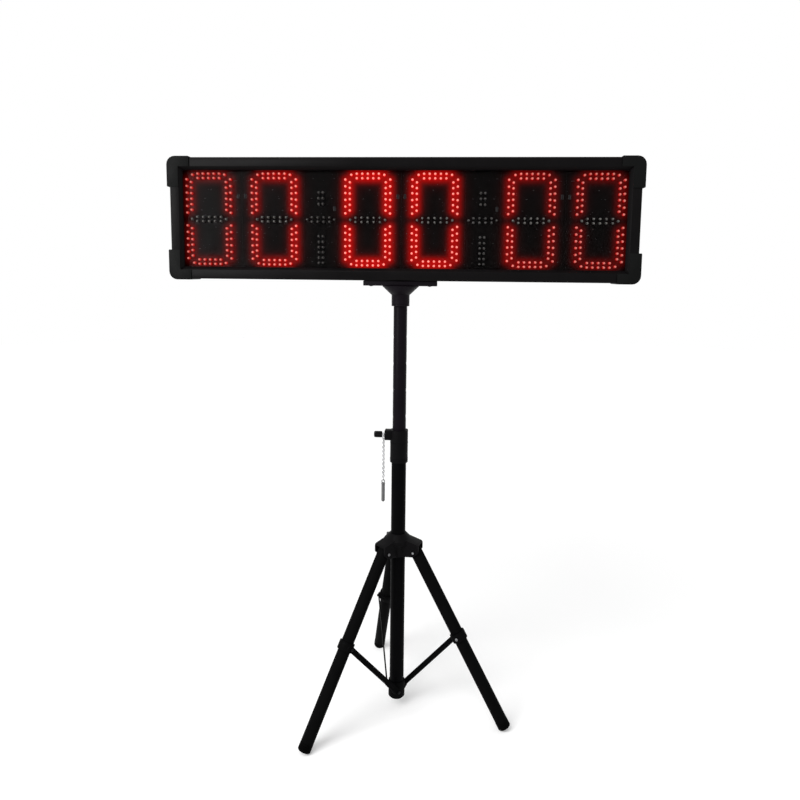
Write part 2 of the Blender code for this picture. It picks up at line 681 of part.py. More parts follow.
def make_hub(hub_axis):
    """The sliding hub: a sleeve with a flared neck and a forked lobe for each leg."""
    neck = HUB_BORE + HUB_NECK_WALL
    flare = HUB_RADIUS + HUB_FLARE
    sleeve = [
        (0.0, HUB_RISE),
        (neck, HUB_RISE),
        (flare, LOBE_RISE),
        (flare, LOBE_RISE - HUB_FLARE),
        (HUB_RADIUS, LOBE_RISE - 2 * HUB_FLARE),
        (HUB_RADIUS, -HUB_DROP),
        (0.0, -HUB_DROP),
    ]
    hub = piece("leg_hub", turned(sleeve, sides=TUBE_SIDES), BLACK_PLASTIC, hub_axis)
    end = HUB_HINGE_RADIUS + LOBE_REACH
    inner = HUB_BORE - GAP
    lobe_top = LOBE_RISE - LOBE_SLOPE
    lobe_bottom = LOBE_STEP - HUB_DROP
    lobe_outline = rounded(
        [
            (inner, lobe_bottom, 0.0),
            (HUB_HINGE_RADIUS, lobe_bottom + LOBE_UNDERCUT, LOBE_ROUND),
            (end, 0.0, LOBE_ROUND),
            (end, lobe_top, LOBE_ROUND),
            (inner, LOBE_RISE + LOBE_SLOPE, 0.0),
        ]
    )
    slot_start = HUB_RADIUS + GAP
    slot_outline = [
        (slot_start, -HUB_DROP * 2),
        (end * 2, -HUB_DROP * 2),
        (end * 2, lobe_top - LOBE_ROOF),
        (slot_start, lobe_top - LOBE_ROOF),
    ]
    upright = Matrix.Rotation(math.radians(90.0), 4, "X")
    lobes = []
    cutters = []
    for leg in range(LEG_COUNT):
        number = leg + 1
        angle = leg_angle(leg)
        turn = (0.0, 0.0, angle)
        lobe_mesh = flat(lobe_outline, EAR_OUTER * 2)
        lobe_mesh.transform(upright)
        lobes.append(helper(f"lobe_{number}", lobe_mesh, hub_axis, rotation=turn))
        slot_mesh = flat(slot_outline, EAR_INNER * 2)
        slot_mesh.transform(upright)
        cutters.append(helper(f"lobe_slot_{number}", slot_mesh, hub_axis, rotation=turn))
        place = (HUB_HINGE_RADIUS * math.cos(angle), HUB_HINGE_RADIUS * math.sin(angle), 0.0)
        hole_mesh = rod(BOLT_RADIUS + BOLT_CLEARANCE, -EAR_OUTER * 2, EAR_OUTER * 2, "Y")
        cutters.append(helper(f"lobe_hole_{number}", hole_mesh, hub_axis, place, turn))
        head = EAR_OUTER + GAP
        piece(f"hub_bolt_{number}", bolt(head, -head, nut=True), GREY_METAL, hub_axis, place, turn)
    knob_angle = hub_knob_angle()
    boss_end = HUB_RADIUS + HUB_BOSS_REACH
    boss_mesh = rod(HUB_BOSS_RADIUS, HUB_BORE - GAP, boss_end, "X")
    knob_place = (0.0, 0.0, -HUB_KNOB_DROP)
    knob_turn = (0.0, 0.0, knob_angle)
    lobes.append(helper("hub_boss", boss_mesh, hub_axis, knob_place, knob_turn))
    join(hub, *lobes)
    cut(hub, *cutters)
    bore_mesh = rod(HUB_BORE, -HUB_RISE * 2, HUB_RISE * 2, "Z", TUBE_SIDES)
    cut(hub, helper("hub_bore", bore_mesh, hub_axis))
    hole_mesh = rod(BOLT_RADIUS + BOLT_CLEARANCE, 0.0, boss_end * 2, "X")
    cut(hub, helper("hub_knob_hole", hole_mesh, hub_axis, knob_place, knob_turn))


def hub_knob_angle():
    """The lock knob points between the right-hand leg and the leg at the back."""
    return leg_angle(0) - math.pi / LEG_COUNT


def make_hub_knob(hub_axis):
    """The lock knob: a head with a rounded rim, and a screw that bears on the lower tube."""
    place = (0.0, 0.0, -HUB_KNOB_DROP)
    axis = empty("hub_knob_axis", hub_axis, place, (0.0, 0.0, hub_knob_angle()))
    start = HUB_RADIUS + HUB_BOSS_REACH + GAP
    end = start + HUB_KNOB_THICKNESS
    rim = HUB_KNOB_ROUND
    profile = [
        (0.0, end),
        (HUB_KNOB_RADIUS - rim, end),
        (HUB_KNOB_RADIUS, end - rim),
        (HUB_KNOB_RADIUS, start + rim),
        (HUB_KNOB_RADIUS - rim, start),
        (BOLT_RADIUS, start),
        (BOLT_RADIUS, LOWER_TUBE_RADIUS + GAP),
        (0.0, LOWER_TUBE_RADIUS + GAP),
    ]
    piece("hub_knob", turned(profile, axis="X"), BLACK_PLASTIC, axis)
    return axis


# Tubes, height collar, knob, chain and pin


def make_lower_tube(stand_axis):
    """The lower tube and the plug in its foot."""
    tube = pipe(LOWER_TUBE_RADIUS, LOWER_TUBE_WALL, LOWER_TUBE_FLOOR_GAP, LOWER_TUBE_TOP)
    piece("lower_tube", tube, BLACK_PAINT, stand_axis)
    inner = LOWER_TUBE_RADIUS - LOWER_TUBE_WALL - GAP
    seat = LOWER_TUBE_FLOOR_GAP - GAP
    bottom = seat - PLUG_FLANGE
    profile = [
        (0.0, seat + PLUG_DEPTH),
        (inner, seat + PLUG_DEPTH),
        (inner, seat),
        (LOWER_TUBE_RADIUS, seat),
        (LOWER_TUBE_RADIUS - PLUG_ROUND, bottom),
        (0.0, bottom),
    ]
    piece("bottom_plug", turned(profile, sides=TUBE_SIDES), BLACK_PLASTIC, stand_axis)


def make_height_collar(stand_axis):
    """The clamp collar on top of the lower tube, with the boss that takes the clamp screw."""
    seat = LOWER_TUBE_TOP + GAP
    slide_bore = UPPER_TUBE_RADIUS + SLIDE_GAP
    solid = rod(COLLAR_RADIUS, COLLAR_BOTTOM, COLLAR_TOP, "Z", TUBE_SIDES)
    collar = piece("height_collar", solid, BLACK_PLASTIC, stand_axis)
    low = (-BOSS_END, -BOSS_HALF_WIDTH, CLAMP_HEIGHT - BOSS_HEIGHT / 2)
    high = (-UPPER_TUBE_RADIUS, BOSS_HALF_WIDTH, CLAMP_HEIGHT + BOSS_HEIGHT / 2)
    boss = helper("clamp_boss", box(low, high), stand_axis)
    bevel(boss, BOSS_ROUND)
    join(collar, boss)
    bore_profile = [
        (0.0, COLLAR_TOP + COLLAR_HEAD),
        (slide_bore, COLLAR_TOP + COLLAR_HEAD),
        (slide_bore, seat),
        (COLLAR_BORE, seat),
        (COLLAR_BORE, COLLAR_BOTTOM - COLLAR_HEAD),
        (0.0, COLLAR_BOTTOM - COLLAR_HEAD),
    ]
    cut(collar, helper("clamp_bore", turned(bore_profile, sides=TUBE_SIDES), stand_axis))
    hole_mesh = rod(BOLT_RADIUS + BOLT_CLEARANCE, -BOSS_END * 2, 0.0, "X")
    cut(collar, helper("clamp_hole", hole_mesh, stand_axis, (0.0, 0.0, CLAMP_HEIGHT)))


def make_clamp_knob(stand_axis):
    """The clamp knob and its screw, pointing along -X; the chain hangs between it and the boss."""
    axis = empty("clamp_axis", stand_axis, (0.0, 0.0, CLAMP_HEIGHT), (0.0, 0.0, math.pi))
    end = KNOB_START + KNOB_LENGTH
    tip = UPPER_TUBE_RADIUS + GAP
    edge = KNOB_ROUND
    profile = [
        (0.0, end),
        (KNOB_RADIUS - edge, end),
        (KNOB_RADIUS, end - edge),
        (KNOB_RADIUS, KNOB_START + edge),
        (KNOB_RADIUS - edge, KNOB_START),
        (BOLT_RADIUS, KNOB_START),
        (BOLT_RADIUS, tip),
        (0.0, tip),
    ]
    piece("clamp_knob", turned(profile, axis="X", sides=KNOB_SIDES), BLACK_PLASTIC, axis)
    return axis


def chain_ring():
    """A wire ring in the YZ plane."""
    wire = CHAIN_WIRE_RADIUS
    points = []
    for step in range(WIRE_SIDES):
        angle = -math.tau * step / WIRE_SIDES
        points.append((CHAIN_RING_RADIUS + wire * math.cos(angle), wire * math.sin(angle)))
    return turned(points, ring=True, axis="X", sides=RING_SIDES)


def make_chain(stand_axis):
    """A bead chain between two rings: one on the clamp screw, the other through the pin's eye."""
    axis = empty("chain_hinge", stand_axis, (CHAIN_X, 0.0, CLAMP_HEIGHT))
    top = CHAIN_START - CLAMP_HEIGHT
    thread = CHAIN_THREAD_RADIUS
    profile = [(0.0, top), (thread, top)]
    for bead in range(CHAIN_BEAD_COUNT):
        middle = top - (bead + 0.5) * CHAIN_BEAD_PITCH
        for step in range(1, BEAD_STEPS):
            angle = math.pi * step / BEAD_STEPS
            radius = CHAIN_BEAD_RADIUS * math.sin(angle)
            profile.append((max(radius, thread), middle + CHAIN_BEAD_RADIUS * math.cos(angle)))
    bottom = CHAIN_END - CLAMP_HEIGHT
    profile.extend([(thread, bottom), (0.0, bottom)])
    chain = piece("pin_chain", turned(profile, sides=CHAIN_SIDES), PALE_CHAIN, axis)
    upper = helper("upper_ring", chain_ring(), axis, (0.0, 0.0, CHAIN_RING_HEIGHT - CLAMP_HEIGHT))
    lower = helper("lower_ring", chain_ring(), axis, (0.0, 0.0, LOW_RING_HEIGHT - CLAMP_HEIGHT))
    join(chain, upper, lower)
    return axis


def make_pin(chain_axis):
    """The safety pin, hanging by its eye from the chain's lower ring."""
    axis = empty("pin_hinge", chain_axis, (0.0, 0.0, PIN_HINGE_HEIGHT - CLAMP_HEIGHT))
    hole = CHAIN_WIRE_RADIUS + PIN_EYE_SPACE
    eye_drop = hole - CHAIN_WIRE_RADIUS - GAP
    eye_radius = hole + PIN_EYE_WALL
    shaft_top = -eye_drop - hole - PIN_NECK
    bottom = shaft_top - PIN_LENGTH
    tip_middle = PIN_TIP * ROUND_SHARE
    profile = [
        (0.0, shaft_top),
        (PIN_RADIUS - PIN_EDGE, shaft_top),
        (PIN_RADIUS, shaft_top - PIN_EDGE),
        (PIN_RADIUS, bottom + PIN_TIP),
        (PIN_RADIUS - tip_middle, bottom + tip_middle),
        (PIN_RADIUS - PIN_TIP, bottom),
        (0.0, bottom),
    ]
    pin = piece("safety_pin", turned(profile), DARK_PIN, axis)
    half = PIN_EYE_THICKNESS / 2
    eye_place = (0.0, 0.0, -eye_drop)
    join(pin, helper("pin_eye", rod(eye_radius, -half, half, "Y"), axis, eye_place))
    cut(pin, helper("pin_eye_hole", rod(hole, -half * 2, half * 2, "Y"), axis, eye_place))
    return axis


def make_mast(mast_axis):
    """The upper tube, with cross holes for the safety pin above the collar."""
    bottom = MAST_TOP - UPPER_TUBE_LENGTH - COLLAR_TOP
    mesh = pipe(UPPER_TUBE_RADIUS, UPPER_TUBE_WALL, bottom, MAST_TOP - COLLAR_TOP)
    mast = piece("upper_tube", mesh, BLACK_PAINT, mast_axis)
    reach = UPPER_TUBE_RADIUS * 2
    for index in range(PIN_HOLE_COUNT):
        place = (0.0, 0.0, PIN_HOLE_FIRST + index * PIN_HOLE_PITCH)
        hole_mesh = rod(PIN_HOLE_RADIUS, -reach, reach, "X")
        cut(mast, helper(f"mast_hole_{index + 1}", hole_mesh, mast_axis, place))


# Pole socket, plate and display case; heights in the head are counted from the case's middle


def make_socket(head_axis):
    """The turned socket over the mast, and the plate that it and the case are bolted to."""
    bore = UPPER_TUBE_RADIUS + GAP
    outer = bore + CUP_WALL
    bottom = CUP_BOTTOM - CASE_CENTRE
    top = SOCKET_TOP - CASE_CENTRE
    profile = [
        (0.0, top),
        (CONE_RADIUS, top),
        (CONE_RADIUS, top - PLATE_EDGE),
        (outer, bottom + CUP_LENGTH),
        (outer, bottom),
        (bore, bottom),
        (bore, bottom + SOCKET_BORE_DEPTH),
        (0.0, bottom + SOCKET_BORE_DEPTH),
    ]
    piece("pole_socket", turned(profile, sides=TUBE_SIDES), BLACK_METAL, head_axis)
    plate_middle = PLATE_BOTTOM + PLATE_THICKNESS / 2 - CASE_CENTRE
    mesh = centred_box(0.0, 0.0, plate_middle, PLATE_WIDTH, PLATE_DEPTH, PLATE_THICKNESS)
    plate = piece("mount_plate", mesh, BLACK_METAL, head_axis)
    bevel(plate, PLATE_EDGE)


def rail_section():
    """A rail's section: x runs inwards from the case's edge, y runs back from its front."""
    slope_end = LIP_WIDTH + LIP_SLOPE
    shift = RAIL_WALL * (math.sqrt(2.0) - 1.0)
    back_rib = BOARD_RIB + RIB_THICKNESS
    return [
        (0.0, RAIL_EDGE),
        (RAIL_EDGE, 0.0),
        (LIP_WIDTH, 0.0),
        (slope_end, LIP_SLOPE),
        (slope_end, LIP_DEPTH),
        (slope_end - RAIL_WALL, LIP_DEPTH),
        (slope_end - RAIL_WALL, LIP_SLOPE + shift),
        (LIP_WIDTH - shift, RAIL_WALL),
        (RAIL_WALL, RAIL_WALL),
        (RAIL_WALL, COVER_RIB),
        (COVER_RIB_REACH, COVER_RIB),
        (COVER_RIB_REACH, COVER_RIB + RIB_THICKNESS),
        (RAIL_WALL, COVER_RIB + RIB_THICKNESS),
        (RAIL_WALL, BOARD_RIB),
        (BOARD_RIB_REACH, BOARD_RIB),
        (BOARD_RIB_REACH, back_rib),
        (RAIL_WALL, back_rib),
        (RAIL_WALL, CASE_DEPTH - RAIL_WALL),
        (BACK_FLANGE, CASE_DEPTH - RAIL_WALL),
        (BACK_FLANGE, CASE_DEPTH),
        (RAIL_EDGE, CASE_DEPTH),
        (0.0, CASE_DEPTH - RAIL_EDGE),
    ]


def slice_off(mesh, point, normal):
    """Cut off what lies past a plane, and close the cut."""
    bm = bmesh.new()
    bm.from_mesh(mesh)
    everything = bm.verts[:] + bm.edges[:] + bm.faces[:]
    bmesh.ops.bisect_plane(bm, geom=everything, plane_co=point, plane_no=normal, clear_outer=True)
    open_edges = [edge for edge in bm.edges if edge.is_boundary]
    bmesh.ops.holes_fill(bm, edges=open_edges)
    bm.to_mesh(mesh)
    bm.free()


def make_rail(name, length, across, turn, case_axis):
    """A folded rail with mitred ends and cut outer corners; turn is about the case's depth axis."""
    half = length / 2
    mesh = flat(rail_section(), length + LIP_WIDTH)
    slack = MITRE_GAP / 2
    for side in (1.0, -1.0):
        slice_off(mesh, (0.0, 0.0, side * (half - slack)), (1.0, 0.0, side))
        slice_off(mesh, (0.0, 0.0, side * (half - CASE_CORNER_CUT)), (-1.0, 0.0, side))
    mesh.transform(Matrix.Translation((-across / 2, -CASE_DEPTH / 2, 0.0)))
    mesh.transform(Matrix.Rotation(turn, 4, "Y"))
    piece(name, mesh, BLACK_METAL, case_axis)


def sheet(inset, thickness, front):
    """A flat sheet inside the case, with its corners cut to pass the case's own."""
    half_width = CASE_WIDTH / 2 - inset
    half_height = CASE_HEIGHT / 2 - inset
    trim = CASE_CORNER_CUT + SHEET_MARGIN - inset
    outline = []
    for x_side, z_side, order in ((1, 1, 0), (-1, 1, 1), (-1, -1, 0), (1, -1, 1)):
        side_point = (x_side * half_width, z_side * (half_height - trim))
        top_point = (x_side * (half_width - trim), z_side * half_height)
        outline.extend([side_point, top_point] if order == 0 else [top_point, side_point])
    mesh = flat(outline, thickness)
    mesh.transform(Matrix.Rotation(math.radians(90.0), 4, "X"))
    mesh.transform(Matrix.Translation((0.0, front + thickness / 2 - CASE_DEPTH / 2, 0.0)))
    return mesh


def make_corner(name, turn, case_axis):
    """A moulded corner: walls round the outside and an L over the front and the back."""
    left = -CASE_WIDTH / 2
    low = -CASE_HEIGHT / 2
    outer_left = left - CORNER_SIDE_WALL
    outer_low = low - CORNER_TOP_WALL
    right = outer_left + CORNER_ARM_ACROSS
    top = outer_low + CORNER_ARM_UP
    small = CORNER_EDGE * 2
    outline = rounded(
        [
            (outer_left, outer_low, CORNER_ROUND),
            (right, outer_low, small),
            (right, top, small),
            (outer_left, top, small),
        ]
    )
    upright = Matrix.Rotation(math.radians(90.0), 4, "X")
    mesh = flat(outline, CASE_DEPTH + 2 * CORNER_FACE_WALL)
    mesh.transform(upright)
    corner = piece(name, mesh, BLACK_PLASTIC, case_axis, rotation=turn)
    bevel(corner, CORNER_EDGE)
    reach = CORNER_ARM_UP * 2
    edge_left = left - GAP
    edge_low = low - GAP
    case_outline = [
        (edge_left, edge_low + CASE_CORNER_CUT),
        (edge_left + CASE_CORNER_CUT, edge_low),
        (left + reach, edge_low),
        (left + reach, low + reach),
        (edge_left, low + reach),
    ]
    case_mesh = flat(case_outline, CASE_DEPTH + 2 * GAP)
    case_mesh.transform(upright)
    window = [
        (left + LIP_WIDTH, low + LIP_WIDTH, small),
        (left + reach, low + LIP_WIDTH, small),
        (left + reach, low + reach, small),
        (left + LIP_WIDTH, low + reach, small),
    ]
    window_mesh = flat(rounded(window), CASE_DEPTH * 2)
    window_mesh.transform(upright)
    cut(corner, helper(f"{name}_space", case_mesh, case_axis, rotation=turn))
    cut(corner, helper(f"{name}_window", window_mesh, case_axis, rotation=turn))


def raised_board(left, right, blocks):
    """A board with raised LED blocks, each (x0, x1, z0, z1), in the case's frame."""
    half_height = CASE_HEIGHT / 2 - SHEET_INSET
    front = BOARD_FRONT - CASE_DEPTH / 2
    mesh = box((left, front, -half_height), (right, front + BOARD_THICKNESS, half_height))
    back = front + BOARD_THICKNESS / 2
    raised = [box((x0, front - LED_HEIGHT, z0), (x1, back, z1)) for x0, x1, z0, z1 in blocks]
    return mesh, raised


def digit_blocks(middle):
    """The seven segments of a digit, as blocks round its middle."""
    half = SEGMENT_HALF_WIDTH
    side = DIGIT_DOT_WIDTH / 2 - half / 2
    top = DIGIT_DOT_HEIGHT / 2 - half / 2
    end = SEGMENT_END_SPACE
    left = middle - side + end
    right = middle + side - end
    across = [(left, right, height - half, height + half) for height in (-top, 0.0, top)]
    upright = []
    for x in (middle - side, middle + side):
        upright.append((x - half, x + half, end, top - end))
        upright.append((x - half, x + half, end - top, -end))
    return across + upright


def colon_blocks(middle):
    """The two upright blocks and the bar of a colon board."""
    half = COLON_HALF_WIDTH
    bar = COLON_BOARD_WIDTH / 2 - SHEET_MARGIN
    return [
        (middle - half, middle + half, COLON_TOP_BLOCK[1], COLON_TOP_BLOCK[0]),
        (middle - half, middle + half, COLON_LOW_BLOCK[0], COLON_LOW_BLOCK[1]),
        (middle - bar, middle + bar, -half, half),
    ]


def make_board(name, left, right, blocks, case_axis):
    mesh, raised = raised_board(left, right, blocks)
    board = piece(name, mesh, DARK_BOARD, case_axis)
    for index, block in enumerate(raised):
        join(board, helper(f"{name}_block_{index + 1}", block, case_axis))


def make_boards(case_axis):
    """Six digit boards in three pairs, and a colon board between each two pairs."""
    number = 1
    for group in (-1, 0, 1):
        for side in (-1, 1):
            middle = group * (DIGIT_PAIR_PITCH + DIGIT_GROUP_PITCH) + side * DIGIT_PAIR_PITCH / 2
            inner = middle - side * (DIGIT_PAIR_PITCH / 2 - BOARD_JOINT / 2)
            outer = middle + side * DIGIT_OUTER_HALF
            left = min(inner, outer)
            right = max(inner, outer)
            make_board(f"digit_board_{number}", left, right, digit_blocks(middle), case_axis)
            number += 1
    half = COLON_BOARD_WIDTH / 2
    for index, side in enumerate((-1, 1)):
        middle = side * COLON_X
        name = f"colon_board_{index + 1}"
        make_board(name, middle - half, middle + half, colon_blocks(middle), case_axis)


def make_inlet(case_axis):
    """The power inlet and switch housing in the back panel, and its rocker."""
    back = BACK_OUTER - CASE_DEPTH / 2
    flange_start = back + GAP
    flange_end = flange_start + INLET_FLANGE
    place = (INLET_X, 0.0, INLET_Z)
    body_start = flange_end - INLET_DEPTH
    low = (-INLET_WIDTH / 2, body_start, -INLET_HEIGHT / 2)
    high = (INLET_WIDTH / 2, flange_start + INLET_FLANGE / 2, INLET_HEIGHT / 2)
    inlet = piece("power_inlet", box(low, high), BLACK_PLASTIC, case_axis, place)
    border = INLET_FLANGE_BORDER
    flange_low = (low[0] - border, flange_start, low[2] - border)
    flange_high = (high[0] + border, flange_end, high[2] + border)
    flange = helper("inlet_flange", box(flange_low, flange_high), case_axis, place)
    join(inlet, flange)
    socket_low = (-SOCKET_WIDTH / 2, flange_end - SOCKET_DEPTH, -SOCKET_DROP - SOCKET_HEIGHT / 2)
    socket_high = (SOCKET_WIDTH / 2, flange_end + SOCKET_DEPTH, -SOCKET_DROP + SOCKET_HEIGHT / 2)
    cut(inlet, helper("inlet_socket", box(socket_low, socket_high), case_axis, place))
    well_half = ROCKER_WIDTH / 2 + ROCKER_WELL_MARGIN
    well_rise = ROCKER_HEIGHT / 2 + ROCKER_WELL_MARGIN
    well_low = (-well_half, flange_end - ROCKER_WELL_DEPTH, ROCKER_RISE - well_rise)
    well_high = (well_half, flange_end + ROCKER_WELL_DEPTH, ROCKER_RISE + well_rise)
    cut(inlet, helper("rocker_well", box(well_low, well_high), case_axis, place))

    hinge_place = (INLET_X, flange_end - ROCKER_DEPTH / 2, INLET_Z + ROCKER_RISE)
    hinge = empty("rocker_hinge", case_axis, hinge_place, (0.0, 0.0, ROCKER_TILT))
    half = ROCKER_WIDTH / 2
    face = ROCKER_DEPTH / 2
    outline = [
        (-half, face + ROCKER_VALLEY),
        (-half, -ROCKER_STEP),
        (-ROCKER_FLAT, -face),
        (ROCKER_FLAT, -face),
        (half, -ROCKER_STEP),
        (half, face + ROCKER_VALLEY),
        (0.0, face),
    ]
    piece("power_switch", flat(outline, ROCKER_HEIGHT), BLACK_PLASTIC, hinge)
    return hinge, (low, high, place)


def make_back(case_axis, inlet_opening):
    """The back panel, with the opening for the inlet."""
    panel = piece("back_panel", sheet(SHEET_INSET, BACK_THICKNESS, BACK_INNER), BLACK_METAL, case_axis)
    low, high, place = inlet_opening
    reach = BACK_THICKNESS * 2
    middle = BACK_INNER + BACK_THICKNESS / 2 - CASE_DEPTH / 2
    opening_low = (low[0] - GAP, middle - reach, low[2] - GAP)
    opening_high = (high[0] + GAP, middle + reach, high[2] + GAP)
    cut(panel, helper("inlet_opening", box(opening_low, opening_high), case_axis, place))


def make_electronics(case_axis):
    """The supply, the control board on its posts, and the leads between them and the inlet."""
    wall = BACK_INNER - CASE_DEPTH / 2 - GAP
    supply_middle = wall - SUPPLY_DEPTH / 2
    supply_mesh = centred_box(
        SUPPLY_X, supply_middle, INSIDE_HEIGHT, SUPPLY_WIDTH, SUPPLY_DEPTH, SUPPLY_HEIGHT
    )
    supply = piece("power_supply", supply_mesh, GREY_METAL, case_axis)
    bevel(supply, PLATE_EDGE)

    board_back = wall - CONTROL_POST
    board_front = board_back - BOARD_THICKNESS
    half_width = CONTROL_WIDTH / 2
    half_height = CONTROL_HEIGHT / 2
    low = (CONTROL_X - half_width, board_front, INSIDE_HEIGHT - half_height)
    high = (CONTROL_X + half_width, board_back, INSIDE_HEIGHT + half_height)
    control = piece("control_board", box(low, high), GREEN_BOARD, case_axis)
    overlap = BOARD_THICKNESS / 2
    for x_side in (-1, 1):
        for z_side in (-1, 1):
            x = CONTROL_X + x_side * (half_width - CONTROL_POST_INSET)
            z = INSIDE_HEIGHT + z_side * (half_height - CONTROL_POST_INSET)
            post = rod(CONTROL_POST_RADIUS, board_back - overlap, wall, "Y")
            join(control, helper(f"post_{x_side}_{z_side}", post, case_axis, (x, 0.0, z)))
    chip_low = (CONTROL_X - CHIP_HALF, board_front - CHIP_HEIGHT, INSIDE_HEIGHT - CHIP_HALF)
    chip_high = (CONTROL_X + CHIP_HALF, board_front + overlap, INSIDE_HEIGHT + CHIP_HALF)
    plug_right = high[0] - SHEET_MARGIN
    plug_low = (plug_right - 2 * PLUG_HALF, board_front - CHIP_HEIGHT, INSIDE_HEIGHT - PLUG_HALF)
    plug_high = (plug_right, board_front + overlap, INSIDE_HEIGHT + PLUG_HALF)
    join(control, helper("control_chip", box(chip_low, chip_high), case_axis))
    join(control, helper("control_plug", box(plug_low, plug_high), case_axis))

    loom_y = board_front - CHIP_HEIGHT / 2
    loom_start = (plug_right + GAP, loom_y, INSIDE_HEIGHT)
    loom_points = hanging(loom_start, SUPPLY_X - SUPPLY_WIDTH / 2 - GAP)
    piece("wiring_loom", tube_along(loom_points, LOOM_RADIUS), WIRE_GREY, case_axis)

    lead_start = (SUPPLY_X + SUPPLY_WIDTH / 2 + GAP, supply_middle, INLET_Z)
    lead_points = hanging(lead_start, INLET_X - INLET_WIDTH / 2 - GAP)
    piece("mains_lead", tube_along(lead_points, LEAD_RADIUS), WIRE_GREY, case_axis)


def hanging(start, end_x):
    """Points of a lead that leaves both its ends level and hangs a little between them."""
    points = []
    for step in range(LEAD_STEPS + 1):
        share = step / LEAD_STEPS
        x = start[0] + (end_x - start[0]) * share
        points.append((x, start[1], start[2] - LEAD_SAG * math.sin(math.pi * share) ** 4))
    return points


def make_case(head_axis):
    """The display case: rails, corners, cover, boards, back and what is inside."""
    case_axis = empty("case_middle", head_axis, (0.0, CASE_OFFSET, 0.0))
    quarter = math.pi / 2
    make_rail("frame_left_rail", CASE_HEIGHT, CASE_WIDTH, 0.0, case_axis)
    make_rail("frame_right_rail", CASE_HEIGHT, CASE_WIDTH, math.pi, case_axis)
    make_rail("frame_bottom_rail", CASE_WIDTH, CASE_HEIGHT, -quarter, case_axis)
    make_rail("frame_top_rail", CASE_WIDTH, CASE_HEIGHT, quarter, case_axis)
    make_corner("corner_bottom_left", (0.0, 0.0, 0.0), case_axis)
    make_corner("corner_bottom_right", (0.0, 0.0, math.pi), case_axis)
    make_corner("corner_top_left", (math.pi, 0.0, 0.0), case_axis)
    make_corner("corner_top_right", (0.0, math.pi, 0.0), case_axis)
    piece("front_cover", sheet(SHEET_INSET, COVER_THICKNESS, COVER_FRONT), CLEAR_COVER, case_axis)
    make_boards(case_axis)
    rocker_axis, inlet_opening = make_inlet(case_axis)
    make_back(case_axis, inlet_opening)
    make_electronics(case_axis)
    return rocker_axis


def centre_in_plan(stand_axis):
    """Move the whole object so that its outline in plan is centred on the origin."""
    bpy.context.view_layer.update()
    graph = bpy.context.evaluated_depsgraph_get()
    places = []
    for made in bpy.data.collections[PARTS].objects:
        if made.type != "MESH":
            continue
        evaluated = made.evaluated_get(graph)
        mesh = evaluated.to_mesh()
        places.extend((made.matrix_world @ vertex.co)[:2] for vertex in mesh.vertices)
        evaluated.to_mesh_clear()
    for axis in range(2):
        values = [place[axis] for place in places]
        stand_axis.location[axis] -= (min(values) + max(values)) / 2
    bpy.context.view_layer.update()


def main():
    clear_scene()
    stand_axis = empty("stand_axis", None, (0.0, 0.0, 0.0))
    hub_axis = empty("hub_slide", stand_axis, (0.0, 0.0, HUB_HEIGHT))
    mast_axis = empty("mast_slide", stand_axis, (0.0, 0.0, COLLAR_TOP))
    head_axis = empty("head_swivel", mast_axis, (0.0, 0.0, CASE_CENTRE - COLLAR_TOP))
    reach = FOOT_REACH * 2
    floor_cutter = helper("floor", box((-reach, -reach, -reach), (reach, reach, 0.0)), None)
    make_hub(hub_axis)
    make_hub_knob(hub_axis)
    for leg in range(LEG_COUNT):
        make_leg(leg, hub_axis, floor_cutter)
        make_brace(leg, stand_axis)
    make_low_collar(stand_axis)
    make_lower_tube(stand_axis)
    make_height_collar(stand_axis)
    make_clamp_knob(stand_axis)
    make_pin(make_chain(stand_axis))
    make_mast(mast_axis)
    make_socket(head_axis)
    make_case(head_axis)
    centre_in_plan(stand_axis)


main()
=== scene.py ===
"""Countdown timer: details, finishes and a stage for a race timer on its tripod stand.

Metres, +Z up, the display faces -Y. Each piece keeps its place in its mesh and rides on a body
of the frame. Run as a script, the file makes every piece in turn and then the stage.
"""

import math
from collections import namedtuple
from contextlib import contextmanager

import bpy
from mathutils import Matrix, Vector


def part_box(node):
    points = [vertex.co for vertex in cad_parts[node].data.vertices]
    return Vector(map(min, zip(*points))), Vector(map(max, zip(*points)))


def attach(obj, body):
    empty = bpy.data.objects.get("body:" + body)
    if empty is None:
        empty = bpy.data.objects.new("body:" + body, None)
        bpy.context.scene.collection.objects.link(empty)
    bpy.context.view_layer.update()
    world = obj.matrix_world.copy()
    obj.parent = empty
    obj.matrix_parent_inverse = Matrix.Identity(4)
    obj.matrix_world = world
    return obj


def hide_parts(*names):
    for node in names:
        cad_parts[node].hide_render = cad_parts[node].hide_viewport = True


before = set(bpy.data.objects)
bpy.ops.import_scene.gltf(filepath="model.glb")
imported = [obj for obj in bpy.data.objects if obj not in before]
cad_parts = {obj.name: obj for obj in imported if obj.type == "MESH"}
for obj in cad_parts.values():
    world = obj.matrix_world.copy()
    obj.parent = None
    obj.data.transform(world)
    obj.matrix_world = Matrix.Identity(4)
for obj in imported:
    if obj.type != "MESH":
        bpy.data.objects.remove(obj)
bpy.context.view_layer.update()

bl_info = {
    "name": "Countdown timer",
    "version": (1, 0, 0),
    "blender": (4, 5, 0),
    "location": "View3D > Sidebar > Countdown timer",
    "description": "Details and finishes for a race timer on a tripod stand, with its stage",
    "category": "Object",
}


def corners(node):
    """The low and the high corner of a node's box."""
    low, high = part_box(node)
    return Vector(low), Vector(high)


def middle(node):
    """The middle of a node's box."""
    low, high = corners(node)
    return (low + high) / 2


def heights(node):
    """The lowest and the highest point of a node."""
    low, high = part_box(node)
    return low[2], high[2]


